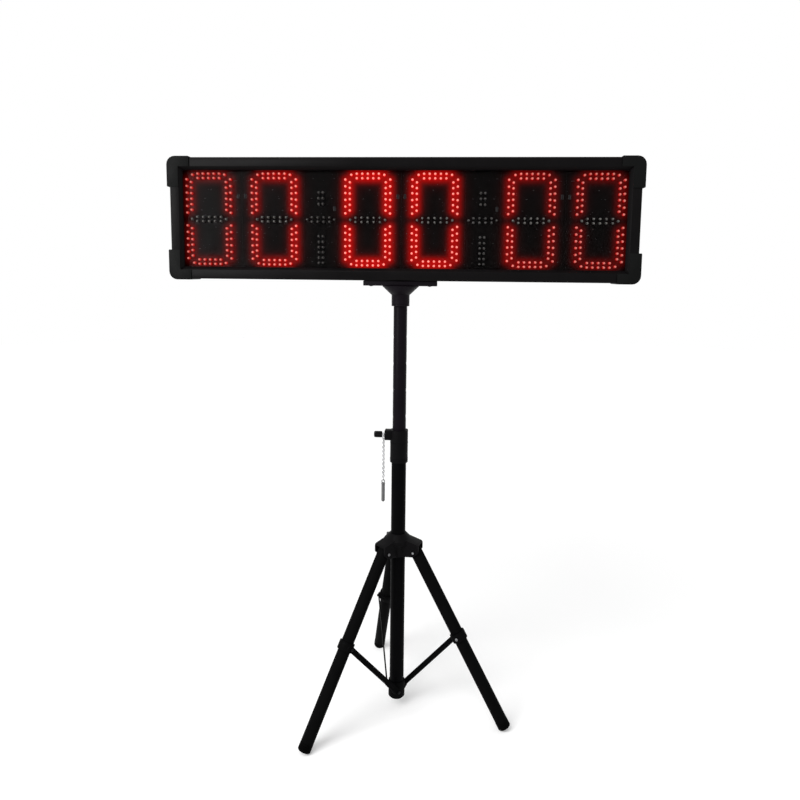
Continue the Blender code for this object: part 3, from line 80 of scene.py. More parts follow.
# Places taken from the frame
POLE = middle("lower_tube")
ON_POLE = Matrix.Translation((POLE[0], POLE[1], 0.0))
CASE_MIDDLE = middle("front_cover")[2]
CASE_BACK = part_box("frame_top_rail")[1][1]
HUB_HEIGHT = middle("hub_bolt_1")[2]
KNOB_HEIGHT = middle("clamp_knob")[2]
CHAIN_X = middle("pin_chain")[0]
CHAIN_LOW, CHAIN_TOP = heights("pin_chain")
PIN_LOW, PIN_TOP = heights("safety_pin")
BOARD_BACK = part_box("digit_board_1")[1][1]
LED_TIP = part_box("digit_board_1")[0][1]
INLET = middle("power_inlet")
INLET_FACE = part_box("power_inlet")[1][1]

# The stand's own angles and reaches, as in the solids
LEGS = (1, 2, 3)
LEG_ANGLES = {leg: math.radians(104.5 + 120.0 * (leg - 1)) for leg in LEGS}
LEG_SPREAD = math.radians(29.4)
LEG_LENGTH = 0.4390
LEG_RADIUS = 0.0140
HINGE_RADIUS = 0.0425
BRACE_LEG_DISTANCE = 0.2135
BRACE_FOOT_RADIUS = 0.0120
BRACE_FOOT_HEIGHT = 0.0454
HUB_BOLT_HEAD = 0.0179
BRACE_PIN_HEAD = 0.0178
BRACE_PIN_END = 0.0190
BRACE_BOLT_HEAD = 0.0216
BRACE_BOLT_END = 0.0193
COLLAR_BOLT_END = 0.0139
TUBE_RADIUS = 0.0165
MAST_BORE = 0.0153
COLLAR_RADIUS = 0.0200
CUP_RADIUS = 0.0198
CUP_HEIGHT = 0.0245

# Rounded edges that no user would change
TUBE_EDGE = 0.0003
BRACE_EDGE = 0.0004
CLIP_EDGE = 0.0008
LOCK_EDGE = 0.0004
BLADE_EDGE = 0.0005
MARK_EDGE = 0.0001

# LEDs of a digit, counted from its middle
OUTER_COLUMN = 0.0485
OUTER_FIRST = 0.0138
OUTER_PITCH = 0.0143
INNER_COLUMN = 0.0388
INNER_FIRST = 0.0200
INNER_PITCH = 0.0119
COLUMN_LEDS = 6
ROW_HEIGHTS = (0.0975, 0.0880)
ROW_PITCH = 0.0119
ROW_STEPS = range(-2, 3)
ROW_END = (0.0356, 0.0953)
BAR_HEIGHTS = (0.0045, -0.0045)
BAR_PITCH = 0.0132
BAR_END = (0.0379, 0.0)
DIGIT_PAIR_PITCH = 0.1446

# LEDs of a colon board
COLON_COLUMN = 0.0045
COLON_HEIGHTS = (0.0578, 0.0457, 0.0336, -0.0356, -0.0477, -0.0590, -0.0699, -0.0817, -0.0931)
COLON_BAR_COLUMNS = (0.0064, 0.0193)
COLON_BAR_END = 0.0296

# One LED and its board
LED_SIDES = 8
LED_FLANGE_TOP = 0.0010
LED_BARREL = 0.0012
BOARD_LAP = 0.0005

# Small parts: boxes of their pieces, and their places from the middle of a digit or a colon
RESISTOR_BODY = ((-0.0006, -0.0006, -0.0004), (0.0006, 0.0, 0.0004))
RESISTOR_END = ((-0.0011, -0.0007, -0.0005), (-0.0006, 0.0, 0.0005))
RESISTOR_END_PITCH = 0.0017
CHIP_CASE = ((-0.0020, -0.0016, -0.0050), (0.0020, -0.0002, 0.0050))
CHIP_LEG = ((-0.0006, -0.0006, -0.0002), (0.0006, 0.0, 0.0002))
CHIP_LEG_OUT = 0.0024
CHIP_LEG_PITCH = 0.00127
CHIP_LEG_STEPS = range(-3, 4)
PART_EDGE = 0.0001
CHIP_EDGE = 0.0003
DIGIT_PARTS = (
    (0.0610, 0.0830), (0.0570, 0.0830), (0.0615, 0.0210), (0.0600, -0.0280),
    (-0.0180, 0.0200), (0.0230, -0.0300), (-0.0240, -0.0640), (0.0040, 0.0640),
    (0.0590, -0.0870), (-0.0100, 0.0450), (0.0130, -0.0170),
)
DIGIT_CHIP = (0.0645, 0.0500)
COLON_PARTS = (
    (-0.0210, 0.0457), (0.0236, 0.0457), (-0.0210, -0.0480), (0.0236, -0.0480),
    (-0.0170, 0.0880), (0.0290, 0.0880), (-0.0200, -0.0900), (0.0290, -0.0900),
)
COLON_CHIP = (0.0300, 0.0240)

# Screws and bolts of the case: head height, shank radius and shank length
CORNER_SCREW = (0.0014, 0.0015, 0.0040)
BACK_SCREW = (0.0013, 0.0015, 0.0040)
PLATE_BOLT = (0.0008, 0.0025, 0.0050)
GRUB_RADIUS = 0.0026
GRUB_SCREW = (0.0010, 0.0022, 0.0030)

# Where they sit, from the corner, the edge or the pole
CORNER_SCREW_PLACES = ((0.038, 0.011), (0.011, 0.052))
BACK_SCREW_SHARES = (0.12, 0.31, 0.50, 0.69, 0.88)
BACK_SCREW_INSET = 0.0062
PLATE_BOLT_X = (-0.0640, 0.0640)
PLATE_BOLT_Y = (-0.0150, 0.0150)
GRUB_HEIGHT = 0.0130
BACKWARD = (0.0, 1.0, 0.0)

# Inlet and rocker
INLET_DROP = 0.0115
BLADES = ((-0.0070, -0.0020), (0.0070, -0.0020), (0.0, 0.0020))
BLADE_LOW = Vector((-0.0010, -0.0145, -0.0020))
BLADE_HIGH = Vector((0.0010, -0.0020, 0.0020))
ROCKER_TILT = math.radians(8.0)
ROCKER_SLOPE = math.atan2(0.0014, 0.0095)
ROCKER_HINGE = Vector((0.0, -0.00325, 0.0130))
MARK_OUT = 0.0060
MARK_FACE = 0.00415
MARK_RADIUS = 0.0017
MARK_WIRE = 0.00025
MARK_BAR = Vector((0.00025, 0.0002, 0.0019))

# Outlines of turned pieces: steps in height and radius from a height and a radius
SOCKET_MOUTH = ((0.0, -0.0005), (-0.0005, 0.0), (-0.0012, -0.0002))
SOCKET_NECK = ((0.0016, 0.0022), (0.0004, 0.0006), (-0.0012, 0.0))
SOCKET_GROOVE = ((0.0052, 0.0), (0.0048, -0.0005), (0.0042, -0.0005), (0.0038, 0.0))
SOCKET_RIM = ((0.0007, 0.0), (0.0, -0.0007))
SOCKET_BORE = ((0.0, 0.0005), (0.0005, 0.0), (0.0400, 0.0))
PLUG_RIM = ((0.0, -0.0030), (0.0003, -0.0016), (0.0010, -0.0004), (0.0016, 0.0), (0.0020, 0.0))
PLUG_STEM = ((0.0020, -0.0003),)
PLUG_TOP = ((-0.0010, -0.0003), (0.0, -0.0010))
BAND_HEIGHTS = (0.0045, 0.0085)
BAND_DROP = 0.0290
BAND = (
    (-0.0010, -0.0004), (-0.0006, 0.0004), (0.0006, 0.0004), (0.0010, -0.0004), (-0.0010, -0.0004),
)
FOOT_LAP = 0.0003
FOOT_TIP = ((0.0, -0.0034), (0.0005, -0.0020), (0.0014, -0.0008), (0.0030, 0.0))
FOOT_RIM = ((0.0176, 0.0), (0.0180, -0.0004))
FOOT_STEM_RADIUS = 0.0125
FOOT_STEM = ((0.0180, 0.0), (0.0420, 0.0), (0.0430, -0.0010))

# Grooves of a foot: where they start, and steps in height with shares of their depth
GROOVE_STARTS = (0.0060, 0.0094, 0.0128)
GROOVE = ((0.0, 0.0), (0.0004, 1.0), (0.0010, 1.0), (0.0014, 0.0))

# Outlines of the knobs and the pin: steps in height with shares of a radius
GRIP_RADIUS = 0.0074
GRIP_LENGTH = 0.0185
GRIP_FACE = ((0.0, 0.60), (0.0006, 0.86), (0.0016, 0.96), (0.0060, 1.0))
GRIP_BACK = ((-0.0040, 1.0), (-0.0014, 1.0), (-0.0003, 0.90), (0.0, 0.72))
GRIP_LOBES = {"sides": 48, "lobes": 8, "lobe_depth": 0.14}
KNOB_SCREW = 0.0025
SCREW_LAP = 0.0010
SCREW_POINT = ((-0.0004, 1.0), (0.0, 0.8))
PIN_RADIUS = 0.0043
PIN_POINT = ((0.0, 0.45), (0.0004, 0.60), (0.0022, 0.86), (0.0032, 0.92))
PIN_GROOVE = ((-0.0046, 0.92), (-0.0042, 0.80), (-0.0034, 0.80), (-0.0030, 1.0))
PIN_SHOULDER = ((-0.0008, 1.0), (-0.0002, 0.86), (0.0, 0.50))
EYE_RADIUS = 0.0034
EYE_WIRE = 0.0009
LOCK_ANGLE = LEG_ANGLES[1] - math.pi / len(LEGS)
LOCK_DROP = 0.0020
LOCK_GAP = 0.0003
LOCK_START = 0.0243
LOCK_END = 0.0373
LOCK_RADIUS = 0.0160
LOCK_BACK = ((0.0, 0.62), (0.0018, 0.74), (0.0040, 0.94), (0.0056, 1.0))
LOCK_FACE = ((-0.0026, 1.0), (-0.0008, 0.93), (0.0, 0.78), (-0.0006, 0.40))
LOCK_LOBES = {"sides": 60, "lobes": 5, "lobe_depth": 0.20}

WELD = 0.000002
FLAT_ANGLE = math.radians(0.5)
SHARP_ANGLE = math.radians(32.0)
ROUND_SIDES = 64
SMALL_SIDES = 24
UPRIGHT = Matrix.Rotation(math.pi / 2, 4, "X")


def length(name, description, default):
    """A size that a user would change."""
    return bpy.props.FloatProperty(
        name=name, description=description, default=default, min=0.0, precision=5, unit="LENGTH"
    )


def colour(name, description, default):
    """A colour that a user would change."""
    return bpy.props.FloatVectorProperty(
        name=name, description=description, default=default, min=0.0, max=1.0, subtype="COLOR"
    )


class TimerSizes(bpy.types.PropertyGroup):
    """Sizes of the details."""

    metal_edge: length("Metal edge", "Round on the edges of folded and cut metal", 0.0005)
    plastic_edge: length("Plastic edge", "Round on the edges of moulded pieces", 0.0010)
    led_radius: length("LED radius", "Half the width of an LED's lens", 0.0026)
    led_flange: length("LED flange", "Half the width of an LED's flange", 0.0030)
    board_thickness: length("Board", "Thickness of an LED board", 0.0016)
    # board_cell, glow_near and glow_far shape the painted red glow that the boards give off round
    # the lit LEDs.
    board_cell: length("Board cell", "Size of the cells that carry the boards' red wash", 0.0030)
    glow_near: length("Near glow", "Reach of the red wash close to an LED", 0.0088)
    glow_far: length("Far glow", "Reach of the faint red wash round a digit", 0.0200)
    screw_head: length("Screw head", "Half the width of a case screw's head", 0.0029)
    bolt_head: length("Bolt head", "Half the width of a stand bolt's head", 0.0030)
    bolt_height: length("Bolt head height", "Height of a stand bolt's head", 0.0030)
    bolt_shank: length("Bolt shank", "Half the width of a stand bolt's shank", 0.0025)
    plate_bolt: length("Plate bolt", "Half the width of the heads under the plate", 0.0048)
    link_radius: length("Link radius", "Radius of the rounded ends of a chain link", 0.0026)
    link_wire: length("Link wire", "Radius of a chain link's wire", 0.0010)
    link_stretch: length("Link stretch", "Half the straight length of a chain link", 0.0008)
    ring_radius: length("Ring radius", "Radius of the chain's two rings", 0.0044)
    ring_wire: length("Ring wire", "Radius of the rings' wire", 0.0009)
    foot_groove: length("Foot groove", "Depth of the grooves in a rubber foot", 0.0008)
    floor_radius: length("Floor", "Radius of the floor", 9.0)


class TimerColours(bpy.types.PropertyGroup):
    """Colours of the finishes."""

    case_black: colour("Case", "Coating of the display case", (0.0028, 0.0024, 0.0026))
    corner_black: colour("Corners", "Moulded corner protectors", (0.0026, 0.0028, 0.0027))
    tube_black: colour("Lower tube", "Coating of the lower tube", (0.0014, 0.0014, 0.0016))
    leg_black: colour("Legs", "Legs, braces and their clips", (0.0030, 0.0030, 0.0031))
    mast_black: colour("Mast", "Mast, socket and plate", (0.0044, 0.0030, 0.0048))
    plastic_black: colour("Stand plastic", "Hub, collar and knobs", (0.0022, 0.0020, 0.0023))
    rubber_black: colour("Rubber", "Feet", (0.0012, 0.0012, 0.0012))
    board_black: colour("Boards", "Solder mask of the LED boards", (0.0014, 0.0010, 0.0010))
    circuit_green: colour("Circuit board", "Solder mask inside the case", (0.012, 0.070, 0.030))
    steel: colour("Steel", "Bright bolts", (0.240, 0.240, 0.246))
    dark_steel: colour("Dark steel", "Blackened screws and bolts", (0.012, 0.012, 0.013))
    chain_steel: colour("Chain", "Plated chain", (0.600, 0.600, 0.610))
    pin_steel: colour("Pin", "Safety pin", (0.130, 0.130, 0.132))
    solder_grey: colour("Solder", "Ends and legs of small parts", (0.100, 0.100, 0.100))
    brass: colour("Contacts", "Blades of the inlet", (0.560, 0.470, 0.260))
    mark_white: colour("Marks", "Marks on the rocker", (0.700, 0.700, 0.700))
    led_core: colour("LED core", "Lit LED at its tip", (1.000, 0.400, 0.330))
    led_red: colour("LED red", "Lit LED round its rim", (0.900, 0.014, 0.010))
    led_grey: colour("Unlit LED", "Clear lens of an unlit LED", (0.150, 0.145, 0.134))
    led_dim: colour("Unlit colon LED", "Clear lens between the digits", (0.070, 0.066, 0.062))
    # glow_red is the colour of the painted red glow that the boards give off, standing in for the
    # LEDs' light on them.
    glow_red: colour("Glow", "Red wash on the boards", (1.000, 0.004, 0.002))
    floor_white: colour("Floor", "Floor under the stand", (0.800, 0.800, 0.800))


# Looks

PATCH_SIZE = 0.055
NOISE_RANGE = (0.3, 0.7)
ROUGH_SHARES = (0.86, 1.16)
SPECKLE_RANGES = (0.35, 0.75, 0.0, 0.35)
LED_CORE_DEPTH = 0.0030
LED_LEVEL = 1.12
LED_UNEVEN = (0.94, 1.08)
# Painted dimming of the lit LEDs and of the boards' painted glow towards the ends of the row, fixed
# in place, standing in for narrow lenses seen off their axis.
FADE_MIDDLE = -0.03
FADE_START = 0.02
FADE_END = 0.40
LED_FADE = 0.42
# Painted red glow that the boards give off round the lit LEDs, standing in for their light falling
# on the boards and its bloom.
PAINTED_GLOW_FADE = 0.20
PAINTED_GLOW_LEVEL = 0.88
PAINTED_GLOW_NEAR = 0.48
PAINTED_GLOW_FAR = 0.009
PAINTED_GLOW_CUT = 6.0
LIT_SPOTS = 90.0
UNLIT_SPOTS = 110.0
LENS_ROUGH = (0.32, 0.45)
DUST_SCALE = 26.0
DUST_DARK = (0.0004, 0.0004, 0.0005, 1.0)
DUST_PALE = (0.0012, 0.0012, 0.0013, 1.0)
COVER_ROUGH = (0.28, 0.38)
COVER_ALPHA = (0.04, 0.07)
FLOOR_CLOUD = 1.2
FLOOR_GLOW = 0.26
WHITE = (1.0, 1.0, 1.0, 1.0)


def feed(node, inputs):
    """Link each input of a shader node to a socket, or give it a value."""
    for name, value in inputs.items():
        if isinstance(value, bpy.types.NodeSocket):
            node.id_data.links.new(value, node.inputs[name])
        else:
            node.inputs[name].default_value = value


def add_node(tree, kind, inputs=None, **settings):
    """A shader node with its settings and its inputs."""
    made = tree.nodes.new(kind)
    for name, value in settings.items():
        setattr(made, name, value)
    feed(made, inputs or {})
    return made


def noise(tree, place, scale, detail=2.0, roughness=0.5):
    """A noise through a piece."""
    inputs = {"Vector": place, "Scale": scale, "Detail": detail, "Roughness": roughness}
    return add_node(tree, "ShaderNodeTexNoise", inputs).outputs["Fac"]


def mixed(tree, share, first, second):
    """A colour between two others."""
    inputs = {0: share, 6: first, 7: second}
    return add_node(tree, "ShaderNodeMix", inputs, data_type="RGBA").outputs[2]


def ranged(tree, value, low, high, to_low, to_high, kind="LINEAR"):
    """A value carried from one range to another, and held at its ends."""
    limits = {"From Min": low, "From Max": high, "To Min": to_low, "To Max": to_high}
    inputs = {"Value": value, **limits}
    return add_node(tree, "ShaderNodeMapRange", inputs, interpolation_type=kind).outputs["Result"]


def computed(tree, operation, *values):
    """One step of arithmetic on values."""
    inputs = dict(enumerate(values))
    return add_node(tree, "ShaderNodeMath", inputs, operation=operation).outputs[0]


def axis(tree, place, letter):
    """One coordinate of a place."""
    return add_node(tree, "ShaderNodeSeparateXYZ", {"Vector": place}).outputs[letter]


def shade(base, share=1.0):
    """A colour made darker or lighter, with its alpha."""
    return (*(min(1.0, part * share) for part in base), 1.0)


def seen_rays(tree):
    """1 for what the camera sees, directly, mirrored or through something clear."""
    rays = add_node(tree, "ShaderNodeLightPath").outputs
    seen = computed(tree, "MAXIMUM", rays["Is Camera Ray"], rays["Is Glossy Ray"])
    return computed(tree, "MAXIMUM", seen, rays["Is Transmission Ray"])


def end_fade(tree, place, full, least):
    """Full along the middle of the row of digits, less towards its ends: a painted dimming fixed in
    place, as narrow lenses look seen off their axis.
    """
    away = computed(tree, "SUBTRACT", axis(tree, place, "X"), FADE_MIDDLE)
    away = computed(tree, "ABSOLUTE", away)
    return ranged(tree, away, FADE_START, FADE_END, full, least * full, "SMOOTHSTEP")


def lens_rim(tree, place, depth):
    """0 at the tip of an LED, and 1 from a depth behind it."""
    return ranged(tree, axis(tree, place, "Y"), LED_TIP, LED_TIP + depth, 0.0, 1.0)


def coat(tree, place, look, colours):
    """Patchy colour, uneven roughness and a fine grain, as on a used coating or moulding."""
    base = getattr(colours, look.colour)
    grain = noise(tree, place, 1.0 / look.grain, 3.0, 0.6)
    patches = noise(tree, place, 1.0 / PATCH_SIZE, 6.0, 0.62)
    blend = ranged(tree, patches, *NOISE_RANGE, 0.0, 1.0)
    tint = mixed(tree, blend, shade(base, 1.0 - look.spread), shade(base, 1.0 + look.spread))
    speckle = ranged(tree, grain, *SPECKLE_RANGES)
    rough = [look.rough * share for share in ROUGH_SHARES]
    bump = add_node(tree, "ShaderNodeBump", {"Height": grain, "Distance": look.height})
    return {
        "Base Color": mixed(tree, speckle, tint, shade(base, 1.0 + 2.0 * look.spread)),
        "Roughness": ranged(tree, patches, *NOISE_RANGE, *rough),
        "Metallic": look.metal,
        "Specular IOR Level": look.shine,
        "Normal": bump.outputs["Normal"],
    }


def board_mask_and_painted_glow(tree, place, look, colours):
    """A matt black LED board with a fine relief, and a painted red glow that it gives off round the
    lit LEDs, standing in for their light falling on it.
    """
    painted_glow = add_node(tree, "ShaderNodeAttribute", attribute_name="glow").outputs["Fac"]
    fade = end_fade(tree, place, 1.0, PAINTED_GLOW_FADE)
    return {
        **coat(tree, place, look, colours),
        "Emission Color": shade(colours.glow_red),
        "Emission Strength": computed(tree, "MULTIPLY", painted_glow, fade),
    }


def lit_lens(tree, place, look, colours):
    """A lit LED: a pale core at its tip and deep red round its rim."""
    rim = lens_rim(tree, place, LED_CORE_DEPTH)
    level = ranged(tree, noise(tree, place, LIT_SPOTS), *NOISE_RANGE, *LED_UNEVEN)
    # Painted dimming towards the ends of the row
    fade = end_fade(tree, place, LED_LEVEL, LED_FADE)
    return {
        # The base colour darkens down the side of the lens: painted shade
        "Base Color": mixed(tree, rim, shade(colours.led_red, 0.4), shade(colours.led_red, 0.15)),
        "Emission Color": mixed(tree, rim, shade(colours.led_core), shade(colours.led_red)),
        "Emission Strength": computed(tree, "MULTIPLY", level, fade),
        "Roughness": look.rough,
        "Specular IOR Level": look.shine,
    }


def unlit_lens(tree, place, look, colours):
    """An unlit LED: a clear grey lens, with painted shade that makes it darker down its side."""
    grey = getattr(colours, look.colour)
    uneven = noise(tree, place, UNLIT_SPOTS)
    pale = mixed(tree, uneven, shade(grey, 0.7), shade(grey, 1.3))
    rim = lens_rim(tree, place, LED_CORE_DEPTH / 2)
    return {
        # Painted shade: darker from the tip back down the side
        "Base Color": mixed(tree, rim, pale, shade(grey, 0.2)),
        "Roughness": ranged(tree, uneven, *NOISE_RANGE, *LENS_ROUGH),
        "Specular IOR Level": look.shine,
    }


def clear_sheet(tree, place, look, colours):
    """The clear front cover: a see-through film of dust.

    The haze that the photograph shows comes from the gloss of the boards behind it, because a
    faint gloss on a see-through sheet renders as grain.
    """
    cloud = noise(tree, place, DUST_SCALE, 8.0, 0.7)
    return {
        "Base Color": mixed(tree, cloud, DUST_DARK, DUST_PALE),
        "Roughness": ranged(tree, cloud, *NOISE_RANGE, *COVER_ROUGH),
        "Alpha": ranged(tree, cloud, *NOISE_RANGE, *COVER_ALPHA),
        "Specular IOR Level": look.shine,
    }


def floor_coat(tree, place, look, colours):
    """A white floor that adds some light of its own where it is seen, and keeps the shadow."""
    white = colours.floor_white
    cloud = noise(tree, place, FLOOR_CLOUD)
    return {
        "Base Color": mixed(tree, cloud, shade(white), shade(white, 0.98)),
        "Emission Color": WHITE,
        "Emission Strength": computed(tree, "MULTIPLY", seen_rays(tree), FLOOR_GLOW),
        "Roughness": look.rough,
        "Specular IOR Level": look.shine,
    }


# Finishes: grain is the size of the fine noise, height its relief, and spread how far the colour
# goes darker and lighter

Finish = namedtuple(
    "Finish",
    "slot colour rough shine grain height spread metal make",
    defaults=(0.0, 0.0, 0.0, 0.0, coat),
)

FINISHES = {
    "rail_coating": Finish("case_metal", "case_black", 0.36, 0.056, 0.0007, 0.00003, 0.28),
    "plate_coating": Finish("socket_metal", "mast_black", 0.42, 0.060, 0.0009, 0.00004, 0.25),
    "sheet_coating": Finish("back_sheet", "case_black", 0.50, 0.100, 0.0008, 0.00004, 0.25),
    "corner_moulding": Finish("corner_plastic", "corner_black", 0.50, 0.070, 0.0011, 0.00006, 0.25),
    "tube_coating": Finish("tube_paint", "tube_black", 0.44, 0.018, 0.0010, 0.00003, 0.30),
    "leg_coating": Finish("tube_paint", "leg_black", 0.48, 0.005, 0.0010, 0.00003, 0.25),
    "clip_moulding": Finish("stand_plastic", "leg_black", 0.50, 0.010, 0.0012, 0.00005, 0.25),
    "mast_coating": Finish("tube_paint", "mast_black", 0.38, 0.042, 0.0010, 0.00003, 0.25),
    "stand_moulding": Finish("stand_plastic", "plastic_black", 0.48, 0.044, 0.0012, 0.00006, 0.28),
    "matt_rubber": Finish("foot_rubber", "rubber_black", 0.70, 0.020, 0.0008, 0.00006, 0.30),
    "bright_steel": Finish("bolt_steel", "steel", 0.30, 0.50, 0.0005, 0.00001, 0.12, 1.0),
    "dark_steel": Finish("bolt_steel", "dark_steel", 0.45, 0.50, 0.0005, 0.00002, 0.25, 1.0),
    "chain_plating": Finish("chain_steel", "chain_steel", 0.28, 0.50, 0.0004, 0.00001, 0.15, 1.0),
    "pin_plating": Finish("pin_steel", "pin_steel", 0.34, 0.50, 0.0006, 0.00002, 0.22, 0.7),
    "contact_brass": Finish("bolt_steel", "brass", 0.30, 0.50, 0.0005, 0.00001, 0.12, 1.0),
    "inlet_moulding": Finish("switch_plastic", "plastic_black", 0.36, 0.180, 0.0009, 0.00003, 0.20),
    "mark_paint": Finish("switch_plastic", "mark_white", 0.50, 0.40, 0.0006, 0.00001, 0.06),
    "circuit_mask": Finish("circuit_board", "circuit_green", 0.35, 0.50, 0.0030, 0.00004, 0.35),
    "supply_shell": Finish("supply_case", "steel", 0.40, 0.50, 0.0020, 0.00002, 0.15, 1.0),
    "dark_sheath": Finish("lead_sheath", "plastic_black", 0.55, 0.35, 0.0010, 0.00004, 0.25),
    "part_body": Finish("circuit_board", "dark_steel", 0.50, 0.150, 0.0005, 0.00001, 0.25),
    "part_end": Finish("circuit_board", "solder_grey", 0.50, 0.300, 0.0005, 0.00001, 0.20, 0.6),
    # The LED boards' solder mask, carrying the painted red glow round the lit LEDs
    "led_board_mask": Finish(
        "led_board", "board_black", 0.34, 0.050, 0.0030, 0.00001, 0.20, make=board_mask_and_painted_glow
    ),
    "led_lit": Finish("led_board", "led_red", 0.25, 0.30, make=lit_lens),
    "led_unlit": Finish("led_board", "led_grey", None, 0.35, make=unlit_lens),
    "led_dim": Finish("led_board", "led_dim", None, 0.35, make=unlit_lens),
    "clear_cover": Finish("clear_sheet", None, None, 0.0, make=clear_sheet),
    "floor_white": Finish(None, "floor_white", 0.9, 0.0, make=floor_coat),
}


def finish(name):
    """The material of a named finish, made the first time it is asked for."""
    if name not in bpy.data.materials:
        look = FINISHES[name]
        made = bpy.data.materials.new(name)
        made.use_nodes = True
        tree = made.node_tree
        place = add_node(tree, "ShaderNodeTexCoord").outputs["Object"]
        inputs = look.make(tree, place, look, bpy.context.scene.timer_colours)
        feed(tree.nodes["Principled BSDF"], inputs)
    return bpy.data.materials[name]


# Modelling steps


def start():
    """Back to object mode with nothing picked."""
    if bpy.context.mode != "OBJECT":
        bpy.ops.object.mode_set(mode="OBJECT")
    bpy.ops.object.select_all(action="DESELECT")


def pick(piece):
    """Only this piece picked."""
    start()
    piece.select_set(True)
    bpy.context.view_layer.objects.active = piece


@contextmanager
def editing(piece):
    """Edit mode on a piece, with all of it picked, and then back to object mode."""
    pick(piece)
    bpy.ops.object.mode_set(mode="EDIT")
    bpy.ops.mesh.select_mode(type="VERT")
    bpy.ops.mesh.select_all(action="SELECT")
    yield
    bpy.ops.object.mode_set(mode="OBJECT")


def close_up(piece):
    """Weld doubles and turn the faces outwards."""
    with editing(piece):
        bpy.ops.mesh.remove_doubles(threshold=WELD)
        bpy.ops.mesh.normals_make_consistent(inside=False)


def put(piece, matrix):
    """Move a finished piece to its place, and keep that in its mesh."""
    pick(piece)
    piece.matrix_world = matrix @ piece.matrix_world
    bpy.ops.object.transform_apply(location=True, rotation=True, scale=True)
    return piece


def settle(piece):
    """Keep a piece's place and size in its mesh."""
    return put(piece, Matrix.Identity(4))


def turned(name, rings, sides=ROUND_SIDES, ring=False, lobes=0, lobe_depth=0.0):
    """A round piece drawn out of a circle along +Z, through (height, radius) rings.

    A ring has no end faces: its last ring is welded to its first. Lobes draw the circle in
    between that many crests.
    """
    start()
    height, radius = rings[0]
    fill = "NOTHING" if ring else "NGON"
    bpy.ops.mesh.primitive_circle_add(
        vertices=sides, radius=radius, fill_type=fill, location=(0.0, 0.0, height)
    )
    piece = bpy.context.object
    piece.name = name
    if lobes:
        for vertex in piece.data.vertices:
            angle = math.atan2(vertex.co.y, vertex.co.x)
            share = 1.0 - lobe_depth * (1.0 - math.cos(lobes * angle)) / 2
            vertex.co.x *= share
            vertex.co.y *= share
    with editing(piece):
        for next_height, next_radius in rings[1:]:
            step = {"value": (0.0, 0.0, next_height - height)}
            bpy.ops.mesh.extrude_region_move(TRANSFORM_OT_translate=step)
            share = next_radius / radius
            bpy.ops.transform.resize(
                value=(share, share, 1.0), center_override=(0.0, 0.0, next_height)
            )
            height, radius = next_height, next_radius
    close_up(piece)
    return settle(piece)


def rings_from(height, radius, steps):
    """Rings at steps from a height and a radius."""
    return [(height + rise, radius + out) for rise, out in steps]


def rings_of(height, radius, steps):
    """Rings at steps from a height, each with its share of a radius."""
    return [(height + rise, radius * share) for rise, share in steps]


def aimed(place, towards):
    """A place where a piece's +Z points towards a direction."""
    aim = Vector(towards).to_track_quat("Z", "Y").to_matrix().to_4x4()
    return Matrix.Translation(place) @ aim


def block(name, low, high, edge, steps=2):
    """A block between two corners with rounded edges."""
    start()
    low, high = Vector(low), Vector(high)
    bpy.ops.mesh.primitive_cube_add(size=1.0, location=(low + high) / 2)
    piece = bpy.context.object
    piece.name = name
    piece.scale = high - low
    settle(piece)
    with editing(piece):
        bpy.ops.mesh.bevel(offset=edge, segments=steps, affect="EDGES")
    return piece


def wire_ring(name, radius, wire, matrix, around=28, across=10, stretch=0.0):
    """A ring of wire in its own XY plane, drawn out along Y for a chain link."""
    start()
    bpy.ops.mesh.primitive_torus_add(
        major_radius=radius, minor_radius=wire, major_segments=around, minor_segments=across
    )
    piece = bpy.context.object
    piece.name = name
    if stretch:
        for side in (-1.0, 1.0):
            pick(piece)
            points = piece.data.vertices
            for vertex in points:
                vertex.select = vertex.co.y * side > WELD
            for part in (*piece.data.edges, *piece.data.polygons):
                part.select = all(points[end].select for end in part.vertices)
            bpy.ops.object.mode_set(mode="EDIT")
            bpy.ops.transform.translate(value=(0.0, side * stretch, 0.0))
            bpy.ops.object.mode_set(mode="OBJECT")
    return put(piece, matrix)


def copied(piece, name, matrix):
    """A copy with a mesh of its own, moved by a matrix."""
    twin = bpy.data.objects.new(name, piece.data.copy())
    bpy.context.scene.collection.objects.link(twin)
    twin.data.transform(matrix)
    return twin


def joined(name, pieces):
    """Several pieces made one."""
    start()
    for piece in pieces:
        piece.select_set(True)
    bpy.context.view_layer.objects.active = pieces[0]
    bpy.ops.object.join()
    pieces[0].name = name
    return pieces[0]


def removed(*pieces):
    """Delete models that were only there to be copied or to cut with."""
    for piece in pieces:
        pick(piece)
        bpy.ops.object.delete()


def apply_modifier(piece, kind, **settings):
    """A modifier that is set and applied."""
    pick(piece)
    bpy.ops.object.modifier_add(type=kind)
    modifier = piece.modifiers[-1]
    for name, value in settings.items():
        setattr(modifier, name, value)
    bpy.ops.object.modifier_apply(modifier=modifier.name)


def soften(piece, width, steps=2):
    """Round the sharp edges of a piece."""
    apply_modifier(
        piece,
        "BEVEL",
        width=width,
        segments=steps,
        limit_method="ANGLE",
        angle_limit=SHARP_ANGLE,
        miter_outer="MITER_ARC",
    )


def smooth(piece):
    """Smooth a piece's round faces."""
    pick(piece)
    bpy.ops.object.shade_smooth_by_angle(angle=SHARP_ANGLE)


def dressed(piece, look, body, *nodes):
    """Give a piece its finish and its body, and the nodes that it stands for."""
    smooth(piece)
    piece.data.materials.clear()
    piece.data.materials.append(finish(look))
    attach(piece, body)
    if nodes:
        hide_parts(*nodes)


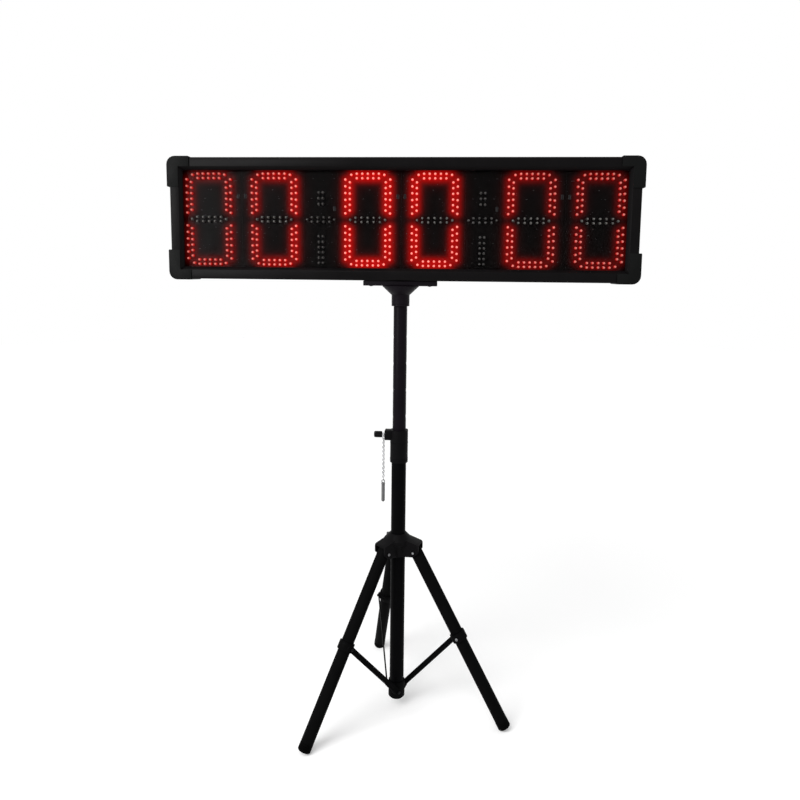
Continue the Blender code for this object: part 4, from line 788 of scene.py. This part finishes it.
def softened(node, name, look, body, width, steps=2):
    """A copy of a CAD node in whole faces with rounded edges, dressed to stand for the node."""
    piece = bpy.data.objects.new(name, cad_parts[node].data.copy())
    bpy.context.scene.collection.objects.link(piece)
    with editing(piece):
        bpy.ops.mesh.remove_doubles(threshold=WELD)
        bpy.ops.mesh.customdata_custom_splitnormals_clear()
        bpy.ops.mesh.dissolve_limited(angle_limit=FLAT_ANGLE)
    soften(piece, width, steps)
    dressed(piece, look, body, node)


def recoat(node, look):
    """Give a CAD node that stays a better material."""
    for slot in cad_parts[node].material_slots:
        slot.material = finish(look)


def hex_bolt(name, head_radius, head_height, shank_radius, shank_length):
    """A bolt along +Z: a domed head from 0 up with a hexagon socket, and a shank below it."""
    edge = head_radius * 0.22
    rings = [(-shank_length, shank_radius * 0.8)]
    rings += [(-shank_length + shank_radius * 0.25, shank_radius), (0.0, shank_radius)]
    rings += [(0.0, head_radius - edge * 0.3), (edge * 0.3, head_radius)]
    rings += [(head_height - edge, head_radius)]
    rings += [(head_height - edge * 0.35, head_radius - edge * 0.5)]
    rings += [(head_height, head_radius - edge * 1.4)]
    bolt = turned(name, rings, SMALL_SIDES)
    start()
    reach = head_height * 1.4
    bpy.ops.mesh.primitive_cylinder_add(
        vertices=6, radius=head_radius * 0.5, depth=reach, location=(0.0, 0.0, head_height)
    )
    cutter = bpy.context.object
    apply_modifier(bolt, "BOOLEAN", object=cutter, operation="DIFFERENCE", solver="EXACT")
    removed(cutter)
    return bolt


def hex_nut(name, radius, height, matrix):
    """A hexagon nut from 0 up along +Z, with its corners taken off."""
    edge = height * 0.15
    rings = [(0.0, radius * 0.92), (edge, radius), (height - edge, radius), (height, radius * 0.92)]
    return put(turned(name, rings, 6), matrix)


def stand_bolt(name, reach):
    """A bolt of the stand with a shank of some length."""
    sizes = bpy.context.scene.timer_sizes
    return hex_bolt(name, sizes.bolt_head, sizes.bolt_height, sizes.bolt_shank, reach)


def screw_set(name, screw, places, towards):
    """Copies of a screw that all face one way, as one dark piece on the display."""
    copies = [copied(screw, f"{name}_screw", aimed(place, towards)) for place in places]
    dressed(joined(name, copies), "dark_steel", "display")


def leg_frame(leg):
    """A leg's own frame: its hinge, with -Z down the leg and +Y across it."""
    angle = LEG_ANGLES[leg]
    x = POLE[0] + HINGE_RADIUS * math.cos(angle)
    y = POLE[1] + HINGE_RADIUS * math.sin(angle)
    turn = Matrix.Rotation(angle, 4, "Z") @ Matrix.Rotation(-LEG_SPREAD, 4, "Y")
    return Matrix.Translation((x, y, HUB_HEIGHT)) @ turn


def brace_joint(leg):
    """Where a leg and its brace meet."""
    return leg_frame(leg) @ Vector((0.0, 0.0, -BRACE_LEG_DISTANCE))


def across(leg):
    """The direction across a leg, which its bolts point along."""
    return Vector((-math.sin(LEG_ANGLES[leg]), math.cos(LEG_ANGLES[leg]), 0.0))


def board_face():
    """Where the fronts of the boards lie."""
    return BOARD_BACK - bpy.context.scene.timer_sizes.board_thickness


def led_model():
    """One LED facing -Y with its foot at the origin: a flange, a short barrel and a dome."""
    sizes = bpy.context.scene.timer_sizes
    height = board_face() - LED_TIP
    radius = sizes.led_radius
    rings = [(0.0, sizes.led_flange), (LED_FLANGE_TOP, sizes.led_flange), (LED_BARREL, radius)]
    rings += [(height - radius, radius), (height - radius * 0.42, radius * 0.88)]
    rings += [(height - radius * 0.10, radius * 0.48), (height, radius * 0.10)]
    return put(turned("led_model", rings, LED_SIDES), UPRIGHT)


def led_set(name, points, led):
    """Copies of the LED at (x, z) points, as one piece."""
    copies = [copied(led, f"{name}_led", Matrix.Translation((x, 0.0, z))) for x, z in points]
    return joined(name, copies)


def digit_points():
    """The lit and the unlit LEDs of a figure nought."""
    lit = []
    for side in (-1, 1):
        for end in (-1, 1):
            for step in range(COLUMN_LEDS):
                lit.append((side * OUTER_COLUMN, end * (OUTER_FIRST + step * OUTER_PITCH)))
                lit.append((side * INNER_COLUMN, end * (INNER_FIRST + step * INNER_PITCH)))
            lit.append((side * ROW_END[0], end * ROW_END[1]))
    for column in ROW_STEPS:
        for height in ROW_HEIGHTS:
            lit.extend([(column * ROW_PITCH, height), (column * ROW_PITCH, -height)])
    unlit = [(column * BAR_PITCH, height) for column in ROW_STEPS for height in BAR_HEIGHTS]
    unlit.extend([BAR_END, (-BAR_END[0], BAR_END[1])])
    return lit, unlit


def colon_points():
    """The unlit LEDs of a colon board."""
    points = [(side * COLON_COLUMN, z) for side in (-1, 1) for z in COLON_HEIGHTS]
    for side in (-1, 1):
        for column in COLON_BAR_COLUMNS:
            points.extend([(side * column, z) for z in BAR_HEIGHTS])
        points.append((side * COLON_BAR_END, 0.0))
    return points


def digit_middle(number):
    """The middle of a digit, which lies off its board's middle."""
    pair = (number - 1) // 2
    side = 1 if number % 2 == 0 else -1
    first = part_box(f"digit_board_{pair * 2 + 1}")[1][0]
    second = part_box(f"digit_board_{pair * 2 + 2}")[0][0]
    return (first + second) / 2 + side * DIGIT_PAIR_PITCH / 2


def digit_lights(number):
    """Where the lit LEDs of a digit lie on the display."""
    return [(digit_middle(number) + x, CASE_MIDDLE + z) for x, z in digit_points()[0]]


def led_board(node, name, lights):
    """A board in a node's place, cut into cells that carry the painted red glow round the lit LEDs
    at lights.
    """
    sizes = bpy.context.scene.timer_sizes
    low, high = corners(node)
    wide, tall = high.x - low.x + BOARD_LAP, high.z - low.z
    start()
    bpy.ops.mesh.primitive_grid_add(
        x_subdivisions=round(wide / sizes.board_cell),
        y_subdivisions=round(tall / sizes.board_cell),
        size=1.0,
    )
    board = bpy.context.object
    board.name = name
    board.scale = (wide, tall, 1.0)
    face = board_face()
    place = Matrix.Translation(((low.x + high.x) / 2, face, (low.z + high.z) / 2))
    put(settle(board), place @ UPRIGHT)
    apply_modifier(board, "SOLIDIFY", thickness=sizes.board_thickness, offset=-1.0)
    close_up(board)
    # Painted glow: the red light that each point of the board's front gives off, summed from the
    # lit LEDs near it
    painted_glow = board.data.attributes.new("glow", "FLOAT", "POINT")
    near, far = sizes.glow_near**2, sizes.glow_far**2
    for vertex in board.data.vertices:
        if vertex.co.y > face + sizes.board_thickness / 2:
            continue
        total = 0.0
        for x, z in lights:
            gap = (vertex.co.x - x) ** 2 + (vertex.co.z - z) ** 2
            if gap < far * PAINTED_GLOW_CUT:
                total += PAINTED_GLOW_NEAR * math.exp(-gap / near) + PAINTED_GLOW_FAR * math.exp(-gap / far)
        painted_glow.data[vertex.index].value = PAINTED_GLOW_LEVEL * (1.0 - math.exp(-total))
    return board


def coated_block(look, low, high, edge, steps):
    """A block of a small part, in a material of its own."""
    piece = block("part_block", low, high, edge, steps)
    piece.data.materials.append(finish(look))
    return piece


def small_parts(name, middle_x, places, chip_place):
    """Resistors with pale ends and a flat chip with legs on a board's front, as one piece."""
    body = coated_block("part_body", *RESISTOR_BODY, PART_EDGE, 1)
    end = coated_block("part_end", *RESISTOR_END, PART_EDGE, 1)
    other = copied(end, "part_end_twin", Matrix.Translation((RESISTOR_END_PITCH, 0.0, 0.0)))
    resistor = joined("resistor_model", [body, end, other])
    leg = coated_block("part_end", *CHIP_LEG, PART_EDGE, 1)
    pieces = [coated_block("part_body", *CHIP_CASE, CHIP_EDGE, 2)]
    for side in (-1, 1):
        for step in CHIP_LEG_STEPS:
            matrix = Matrix.Translation((side * CHIP_LEG_OUT, 0.0, step * CHIP_LEG_PITCH))
            pieces.append(copied(leg, "chip_leg", matrix))
    chip = joined("chip_model", pieces)
    copies = []
    for model, spots in ((resistor, places), (chip, [chip_place])):
        for x, z in spots:
            matrix = Matrix.Translation((middle_x + x, board_face(), CASE_MIDDLE + z))
            copies.append(copied(model, f"{name}_part", matrix))
    removed(resistor, leg, chip)
    parts = joined(name, copies)
    smooth(parts)
    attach(parts, "display")


def filled_board(kind, number, middle_x, lights, leds, places, chip_place):
    """A board with its LEDs, each set a name, a model and a finish, and with its small parts."""
    node = f"{kind}_board_{number}"
    board = led_board(node, f"{kind}_panel_{number}", lights)
    dressed(board, "led_board_mask", "display", node)
    moved = Matrix.Translation((middle_x, board_face(), CASE_MIDDLE))
    for name, model, look in leds:
        dressed(copied(model, f"{kind}_{name}_{number}", moved), look, "display")
    small_parts(f"{kind}_parts_{number}", middle_x, places, chip_place)


def on_chain(height):
    """A place on the chain's line."""
    return Matrix.Translation((CHAIN_X, POLE[1], height))


def lamp(kind, place, aim, energy):
    """A lamp that shines from a place towards another."""
    bpy.ops.object.light_add(type=kind, location=place)
    made = bpy.context.object
    made.data.energy = energy
    made.rotation_euler = (Vector(place) - Vector(aim)).to_track_quat("Z", "Y").to_euler()
    return made.data


# Pieces, each made by its own operator


class MakeRails(bpy.types.Operator):
    """Round the folded edges of the four rails"""

    bl_idname = "timer.rails"
    bl_label = "Case rails"

    def execute(self, context):
        edge = context.scene.timer_sizes.metal_edge
        for side in ("top", "bottom", "left", "right"):
            softened(f"frame_{side}_rail", f"{side}_rail", "rail_coating", "display", edge, 3)
        return {"FINISHED"}


class MakeCorners(bpy.types.Operator):
    """Mould the four corner protectors, each with two screws at the back"""

    bl_idname = "timer.corners"
    bl_label = "Corner protectors"

    def execute(self, context):
        sizes = context.scene.timer_sizes
        screw = hex_bolt("corner_screw_model", sizes.screw_head, *CORNER_SCREW)
        for upright, to_z in (("top", -1.0), ("bottom", 1.0)):
            for side, to_x in (("left", 1.0), ("right", -1.0)):
                end = f"{upright}_{side}"
                node, name = f"corner_{end}", f"protector_{end}"
                softened(node, name, "corner_moulding", "display", sizes.plastic_edge, 3)
                low, high = corners(node)
                outer_x = low.x if side == "left" else high.x
                outer_z = high.z if upright == "top" else low.z
                places = []
                for in_x, in_z in CORNER_SCREW_PLACES:
                    places.append((outer_x + to_x * in_x, high.y, outer_z + to_z * in_z))
                screw_set(f"corner_screws_{end}", screw, places, BACKWARD)
        removed(screw)
        return {"FINISHED"}


class MakeCoverAndBack(bpy.types.Operator):
    """Finish the clear cover and the back panel, and add the screws round the back"""

    bl_idname = "timer.cover_and_back"
    bl_label = "Cover and back"

    def execute(self, context):
        recoat("front_cover", "clear_cover")
        recoat("back_panel", "sheet_coating")
        low, high = corners("back_panel")
        inset = BACK_SCREW_INSET
        places = []
        for share in BACK_SCREW_SHARES:
            x = low.x + (high.x - low.x) * share
            places += [(x, CASE_BACK, low.z + inset), (x, CASE_BACK, high.z - inset)]
        for x in (low.x + inset, high.x - inset):
            places.append((x, CASE_BACK, (low.z + high.z) / 2))
        screw = hex_bolt("back_screw_model", context.scene.timer_sizes.screw_head, *BACK_SCREW)
        screw_set("back_screws", screw, places, BACKWARD)
        removed(screw)
        return {"FINISHED"}


class MakeDigits(bpy.types.Operator):
    """Build the six digit boards with their lit and unlit LEDs and small parts"""

    bl_idname = "timer.digits"
    bl_label = "Digit boards"

    def execute(self, context):
        led = led_model()
        lit_points, unlit_points = digit_points()
        lit = led_set("lit_model", lit_points, led)
        unlit = led_set("unlit_model", unlit_points, led)
        leds = (("lit", lit, "led_lit"), ("unlit", unlit, "led_unlit"))
        for number in range(1, 7):
            low, high = corners(f"digit_board_{number}")
            middle_x = digit_middle(number)
            side = 1.0 if high.x - middle_x > middle_x - low.x else -1.0
            *places, chip_place = [(side * x, z) for x, z in (*DIGIT_PARTS, DIGIT_CHIP)]
            # The lit LEDs that the board's painted red glow is summed from
            lights = digit_lights(number)
            filled_board("digit", number, middle_x, lights, leds, places, chip_place)
        removed(led, lit, unlit)
        return {"FINISHED"}


class MakeColons(bpy.types.Operator):
    """Build the two colon boards with their unlit LEDs and small parts"""

    bl_idname = "timer.colons"
    bl_label = "Colon boards"

    def execute(self, context):
        led = led_model()
        unlit = led_set("colon_model", colon_points(), led)
        leds = (("unlit", unlit, "led_dim"),)
        for number in (1, 2):
            middle_x = middle(f"colon_board_{number}")[0]
            # The colon boards carry the painted red glow of the digits on either side
            lights = digit_lights(number * 2) + digit_lights(number * 2 + 1)
            filled_board("colon", number, middle_x, lights, leds, COLON_PARTS, COLON_CHIP)
        removed(led, unlit)
        return {"FINISHED"}


class MakeInlet(bpy.types.Operator):
    """Finish the power inlet with its blades, and the rocker with its two marks"""

    bl_idname = "timer.inlet"
    bl_label = "Inlet and switch"

    def execute(self, context):
        edge = context.scene.timer_sizes.metal_edge
        softened("power_inlet", "inlet_housing", "inlet_moulding", "display", edge)
        blades = []
        for x, z in BLADES:
            place = Vector((INLET[0] + x, INLET_FACE, INLET[2] - INLET_DROP + z))
            blades.append(block("inlet_blade", place + BLADE_LOW, place + BLADE_HIGH, BLADE_EDGE))
        dressed(joined("inlet_blades", blades), "contact_brass", "display")
        softened("power_switch", "rocker_key", "inlet_moulding", "switch", edge)
        hinge = Matrix.Translation(Vector((INLET[0], INLET_FACE, INLET[2])) + ROCKER_HINGE)
        hinge = hinge @ Matrix.Rotation(ROCKER_TILT, 4, "Z")
        ring_place, bar_place = (
            hinge
            @ Matrix.Translation((side * MARK_OUT, MARK_FACE, 0.0))
            @ Matrix.Rotation(side * ROCKER_SLOPE, 4, "Z")
            for side in (-1, 1)
        )
        ring = wire_ring("mark_ring", MARK_RADIUS, MARK_WIRE, ring_place @ UPRIGHT, 24, 8)
        bar = put(block("mark_bar", -MARK_BAR, MARK_BAR, MARK_EDGE), bar_place)
        dressed(joined("rocker_marks", [ring, bar]), "mark_paint", "switch")
        return {"FINISHED"}


class MakeInside(bpy.types.Operator):
    """Finish the supply, the control board and the leads inside the case"""

    bl_idname = "timer.inside"
    bl_label = "Inside the case"

    def execute(self, context):
        recoat("power_supply", "supply_shell")
        recoat("control_board", "circuit_mask")
        recoat("wiring_loom", "dark_sheath")
        recoat("mains_lead", "dark_sheath")
        return {"FINISHED"}


class MakeMount(bpy.types.Operator):
    """Turn the pole socket, and bolt the plate to the case"""

    bl_idname = "timer.mount"
    bl_label = "Plate and socket"

    def execute(self, context):
        sizes = context.scene.timer_sizes
        softened("mount_plate", "case_plate", "plate_coating", "display", sizes.metal_edge)
        low, high = corners("pole_socket")
        rings = rings_from(high.z, (high.x - low.x) / 2, SOCKET_MOUTH)
        rings += rings_from(low.z + CUP_HEIGHT, CUP_RADIUS, SOCKET_NECK)
        rings += rings_from(low.z, CUP_RADIUS, SOCKET_GROOVE + SOCKET_RIM)
        rings += rings_from(low.z, MAST_BORE, SOCKET_BORE)
        socket = put(turned("mast_socket", rings), ON_POLE)
        dressed(socket, "plate_coating", "display", "pole_socket")
        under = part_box("mount_plate")[0][2]
        places = [(POLE[0] + x, POLE[1] + y, under) for x in PLATE_BOLT_X for y in PLATE_BOLT_Y]
        bolt = hex_bolt("plate_bolt_model", sizes.plate_bolt, *PLATE_BOLT)
        screw_set("plate_bolts", bolt, places, (0.0, 0.0, -1.0))
        removed(bolt)
        grub = hex_bolt("socket_grub", GRUB_RADIUS, *GRUB_SCREW)
        put(grub, aimed((POLE[0], POLE[1] + CUP_RADIUS, low.z + GRUB_HEIGHT), BACKWARD))
        dressed(grub, "dark_steel", "display")
        return {"FINISHED"}


class MakeTubes(bpy.types.Operator):
    """Finish the mast, and draw the lower tube with rounded rims and its plug"""

    bl_idname = "timer.tubes"
    bl_label = "Mast and lower tube"

    def execute(self, context):
        radius, bore, edge = TUBE_RADIUS, MAST_BORE, TUBE_EDGE
        softened("upper_tube", "mast_tube", "mast_coating", "mast", edge)
        low, high = heights("lower_tube")
        rings = [(low + edge, radius), (high - edge, radius), (high, radius - edge)]
        rings += [(high, bore + edge), (high - edge, bore), (low + edge, bore)]
        rings += [(low, bore + edge), (low, radius - edge), (low + edge, radius)]
        tube = put(turned("leg_post", rings, ring=True), ON_POLE)
        dressed(tube, "tube_coating", "stand", "lower_tube")
        low, high = heights("bottom_plug")
        rings = rings_from(low, radius, PLUG_RIM) + rings_from(low, bore, PLUG_STEM)
        plug = put(turned("post_plug", rings + rings_from(high, bore, PLUG_TOP)), ON_POLE)
        dressed(plug, "matt_rubber", "stand", "bottom_plug")
        return {"FINISHED"}


class MakeHeightCollar(bpy.types.Operator):
    """Mould the height collar with its grip bands, and the fluted clamp knob"""

    bl_idname = "timer.height_collar"
    bl_label = "Height collar and knob"

    def execute(self, context):
        edge = context.scene.timer_sizes.plastic_edge
        softened("height_collar", "clamp_collar", "stand_moulding", "stand", edge, 3)
        low, high = heights("height_collar")
        bands = []
        for height in (*(low + rise for rise in BAND_HEIGHTS), high - BAND_DROP):
            rings = rings_from(height, COLLAR_RADIUS, BAND)
            bands.append(turned("collar_band", rings, ring=True))
        dressed(put(joined("collar_bands", bands), ON_POLE), "stand_moulding", "stand")
        low, high = corners("clamp_knob")
        place = aimed((low.x, POLE[1], KNOB_HEIGHT), (1.0, 0.0, 0.0))
        rings = rings_of(0.0, GRIP_RADIUS, GRIP_FACE)
        rings += rings_of(GRIP_LENGTH, GRIP_RADIUS, GRIP_BACK)
        knob = put(turned("clamp_grip", rings, **GRIP_LOBES), place)
        rings = [(GRIP_LENGTH - SCREW_LAP, KNOB_SCREW)]
        rings += rings_of(high.x - low.x, KNOB_SCREW, SCREW_POINT)
        screw = put(turned("clamp_screw", rings, SMALL_SIDES), place)
        dressed(knob, "stand_moulding", "clamp", "clamp_knob")
        dressed(screw, "bright_steel", "clamp")
        return {"FINISHED"}


class MakeChain(bpy.types.Operator):
    """Link the chain between its two rings, and turn the safety pin"""

    bl_idname = "timer.chain"
    bl_label = "Chain and pin"

    def execute(self, context):
        sizes = context.scene.timer_sizes
        ring, wire = sizes.ring_radius, sizes.ring_wire
        upper, lower = CHAIN_TOP - ring - wire, CHAIN_LOW + ring + wire
        pieces = []
        for height in (upper, lower):
            matrix = on_chain(height) @ Matrix.Rotation(math.pi / 2, 4, "Y")
            pieces.append(wire_ring("chain_ring", ring, wire, matrix))
        radius, wire = sizes.link_radius, sizes.link_wire
        top = upper - ring + sizes.ring_wire - wire
        run = top - (lower + ring - sizes.ring_wire + wire)
        count = round(run / (2 * (radius - wire + sizes.link_stretch)))
        pitch = run / count
        stretch = pitch / 2 - radius + wire
        link = wire_ring("link_model", radius, wire, UPRIGHT, 16, 6, stretch)
        for step in range(count):
            turn = Matrix.Rotation(math.pi / 4 + math.pi / 2 * (step % 2), 4, "Z")
            pieces.append(copied(link, "chain_link", on_chain(top - pitch * (step + 0.5)) @ turn))
        removed(link)
        dressed(joined("link_chain", pieces), "chain_plating", "chain", "pin_chain")
        eye_z = PIN_TOP - PIN_RADIUS
        eye = wire_ring("pin_eye", EYE_RADIUS, EYE_WIRE, on_chain(eye_z) @ UPRIGHT)
        rings = rings_of(PIN_LOW, PIN_RADIUS, PIN_POINT)
        rings += rings_of(eye_z - EYE_RADIUS, PIN_RADIUS, PIN_GROOVE + PIN_SHOULDER)
        shaft = put(turned("pin_shaft", rings, SMALL_SIDES), on_chain(0.0))
        dressed(joined("lock_pin", [shaft, eye]), "pin_plating", "pin", "safety_pin")
        return {"FINISHED"}


class MakeHub(bpy.types.Operator):
    """Mould the leg hub, fit its bolts and nuts, and turn the lobed lock knob"""

    bl_idname = "timer.hub"
    bl_label = "Leg hub"

    def execute(self, context):
        sizes = context.scene.timer_sizes
        softened("leg_hub", "hub_moulding", "stand_moulding", "hub", sizes.plastic_edge, 3)
        model = stand_bolt("hub_bolt_model", HUB_BOLT_HEAD * 2)
        for leg in LEGS:
            name = f"hinge_bolt_{leg}"
            hinge, side = leg_frame(leg).translation, across(leg)
            bolt = copied(model, name, aimed(hinge + side * HUB_BOLT_HEAD, side))
            nut_place = aimed(hinge - side * HUB_BOLT_HEAD, -side)
            nut = hex_nut(f"hinge_nut_{leg}", sizes.bolt_head, sizes.bolt_height, nut_place)
            dressed(joined(name, [bolt, nut]), "bright_steel", "hub", f"hub_bolt_{leg}")
        removed(model)
        rings = [(TUBE_RADIUS + LOCK_GAP, KNOB_SCREW), (LOCK_START, KNOB_SCREW)]
        rings += rings_of(LOCK_START, LOCK_RADIUS, LOCK_BACK)
        rings += rings_of(LOCK_END, LOCK_RADIUS, LOCK_FACE)
        knob = turned("lock_knob", rings, **LOCK_LOBES)
        out = (math.cos(LOCK_ANGLE), math.sin(LOCK_ANGLE), 0.0)
        put(knob, aimed((POLE[0], POLE[1], HUB_HEIGHT - LOCK_DROP), out))
        soften(knob, LOCK_EDGE)
        dressed(knob, "stand_moulding", "hub_lock", "hub_knob")
        return {"FINISHED"}


class MakeLegs(bpy.types.Operator):
    """Finish the leg tubes and their brackets, with grooved rubber feet flat on the floor"""

    bl_idname = "timer.legs"
    bl_label = "Legs and feet"

    def execute(self, context):
        depth = context.scene.timer_sizes.foot_groove
        outer = LEG_RADIUS + FOOT_LAP
        steps = list(FOOT_TIP)
        for low in GROOVE_STARTS:
            steps += [(low + rise, -depth * share) for rise, share in GROOVE]
        rings = rings_from(-LEG_LENGTH, outer, [*steps, *FOOT_RIM])
        rings += rings_from(-LEG_LENGTH, FOOT_STEM_RADIUS, FOOT_STEM)
        foot_model = turned("foot_model", rings)
        pin_model = stand_bolt("brace_pin_model", BRACE_PIN_HEAD + BRACE_PIN_END)
        for leg in LEGS:
            body = f"leg_{leg}"
            softened(f"leg_tube_{leg}", f"leg_post_{leg}", "leg_coating", body, TUBE_EDGE)
            foot = copied(foot_model, f"rubber_foot_{leg}", leg_frame(leg))
            with editing(foot):
                bpy.ops.mesh.bisect(
                    plane_co=(0.0, 0.0, 0.0),
                    plane_no=(0.0, 0.0, 1.0),
                    use_fill=True,
                    clear_inner=True,
                    threshold=WELD,
                )
            dressed(foot, "matt_rubber", body, f"foot_cap_{leg}")
            softened(f"leg_bracket_{leg}", f"brace_clip_{leg}", "clip_moulding", body, CLIP_EDGE)
            side = -across(leg)
            place = aimed(brace_joint(leg) + side * BRACE_PIN_HEAD, side)
            pin = copied(pin_model, f"clip_pin_{leg}", place)
            dressed(pin, "bright_steel", body, f"brace_pin_{leg}")
        removed(foot_model, pin_model)
        return {"FINISHED"}


class MakeBraces(bpy.types.Operator):
    """Finish the flat braces and their bolts, and the collar that they turn on"""

    bl_idname = "timer.braces"
    bl_label = "Braces and low collar"

    def execute(self, context):
        edge = context.scene.timer_sizes.plastic_edge
        softened("bottom_collar", "brace_collar", "clip_moulding", "stand", edge, 3)
        short = stand_bolt("brace_bolt_model", BRACE_BOLT_HEAD - BRACE_BOLT_END)
        long = stand_bolt("collar_bolt_model", BRACE_BOLT_HEAD - COLLAR_BOLT_END)
        for leg in LEGS:
            body, side = f"brace_arm_{leg}", across(leg)
            softened(f"brace_{leg}", f"flat_brace_{leg}", "leg_coating", body, BRACE_EDGE)
            head = side * BRACE_BOLT_HEAD
            bolt = copied(short, f"top_bolt_{leg}", aimed(brace_joint(leg) + head, side))
            dressed(bolt, "dark_steel", body, f"brace_bolt_{leg}")
            angle = LEG_ANGLES[leg]
            foot = Vector((math.cos(angle), math.sin(angle), 0.0)) * BRACE_FOOT_RADIUS
            foot += Vector((POLE[0], POLE[1], BRACE_FOOT_HEIGHT))
            bolt = copied(long, f"low_bolt_{leg}", aimed(foot + head, side))
            dressed(bolt, "dark_steel", "stand", f"collar_bolt_{leg}")
        removed(short, long)
        return {"FINISHED"}


# Stage: the photograph's viewpoint, a white floor that keeps the shadow, and soft light

CAMERA_DISTANCE = 1.5
CAMERA_YAW = math.radians(3.8)
CAMERA_PITCH = math.radians(6.74)
CAMERA_ROLL = math.radians(0.60)
CAMERA_HEIGHT = 1.017
FOCAL_SHARE = 679.5 / 800
SENSOR = 36.0
CAMERA_SHIFT = -0.06
SKY_LEVEL = 0.55
SUN_FROM = (-0.55, -0.75, 1.10)
SUN_ANGLE = math.radians(40.0)
SUN_LEVEL = 1.70
PANEL_FROM = (-1.15, -1.10, 1.25)
PANEL_AT = (-0.45, -0.04, 1.12)
PANEL_SIZE = 0.90
PANEL_LEVEL = 12.0
FLOOR_SIDES = 96


class MakeStage(bpy.types.Operator):
    """Set the camera, the floor, the lamps and the surroundings"""

    bl_idname = "timer.stage"
    bl_label = "Stage"

    def execute(self, context):
        scene = context.scene
        scene.view_settings.view_transform = "Standard"
        camera = bpy.data.objects.new("camera", bpy.data.cameras.new("camera"))
        scene.collection.objects.link(camera)
        x = CAMERA_DISTANCE * math.sin(CAMERA_YAW)
        y = POLE[1] - CAMERA_DISTANCE * math.cos(CAMERA_YAW)
        camera.matrix_world = (
            Matrix.Translation((x, y, CAMERA_HEIGHT))
            @ Matrix.Rotation(CAMERA_YAW, 4, "Z")
            @ Matrix.Rotation(math.pi / 2 - CAMERA_PITCH, 4, "X")
            @ Matrix.Rotation(CAMERA_ROLL, 4, "Z")
        )
        camera.data.sensor_width = SENSOR
        camera.data.lens = SENSOR * FOCAL_SHARE
        camera.data.shift_y = CAMERA_SHIFT
        scene.camera = camera

        start()
        radius = scene.timer_sizes.floor_radius
        bpy.ops.mesh.primitive_circle_add(vertices=FLOOR_SIDES, radius=radius, fill_type="NGON")
        floor = context.object
        floor.name = "floor"
        floor.data.materials.append(finish("floor_white"))

        lamp("SUN", SUN_FROM, (0.0, 0.0, 0.0), SUN_LEVEL).angle = SUN_ANGLE
        panel = lamp("AREA", PANEL_FROM, PANEL_AT, PANEL_LEVEL)
        panel.shape = "DISK"
        panel.size = PANEL_SIZE

        world = bpy.data.worlds.new("surroundings")
        world.use_nodes = True
        scene.world = world
        tree = world.node_tree
        level = ranged(tree, seen_rays(tree), 0.0, 1.0, SKY_LEVEL, 1.0)
        feed(tree.nodes["Background"], {"Color": WHITE, "Strength": level})
        return {"FINISHED"}


OPERATORS = (
    MakeRails,
    MakeCorners,
    MakeCoverAndBack,
    MakeDigits,
    MakeColons,
    MakeInlet,
    MakeInside,
    MakeMount,
    MakeTubes,
    MakeHeightCollar,
    MakeChain,
    MakeHub,
    MakeLegs,
    MakeBraces,
    MakeStage,
)


class TimerPanel(bpy.types.Panel):
    """Lists the pieces of the timer"""

    bl_idname = "VIEW3D_PT_timer"
    bl_label = "Countdown timer"
    bl_space_type = "VIEW_3D"
    bl_region_type = "UI"
    bl_category = "Countdown timer"

    def draw(self, context):
        column = self.layout.column(align=True)
        for maker in OPERATORS:
            column.operator(maker.bl_idname)
        for group in (context.scene.timer_sizes, context.scene.timer_colours):
            box = self.layout.box()
            for name in group.__annotations__:
                box.prop(group, name)


CLASSES = (TimerSizes, TimerColours, *OPERATORS, TimerPanel)


def register():
    for item in CLASSES:
        bpy.utils.register_class(item)
    bpy.types.Scene.timer_sizes = bpy.props.PointerProperty(type=TimerSizes)
    bpy.types.Scene.timer_colours = bpy.props.PointerProperty(type=TimerColours)


def unregister():
    del bpy.types.Scene.timer_sizes
    del bpy.types.Scene.timer_colours
    for item in reversed(CLASSES):
        bpy.utils.unregister_class(item)


def main():
    register()
    for maker in OPERATORS:
        group, name = maker.bl_idname.split(".")
        getattr(getattr(bpy.ops, group), name)()


if __name__ == "__main__":
    main()
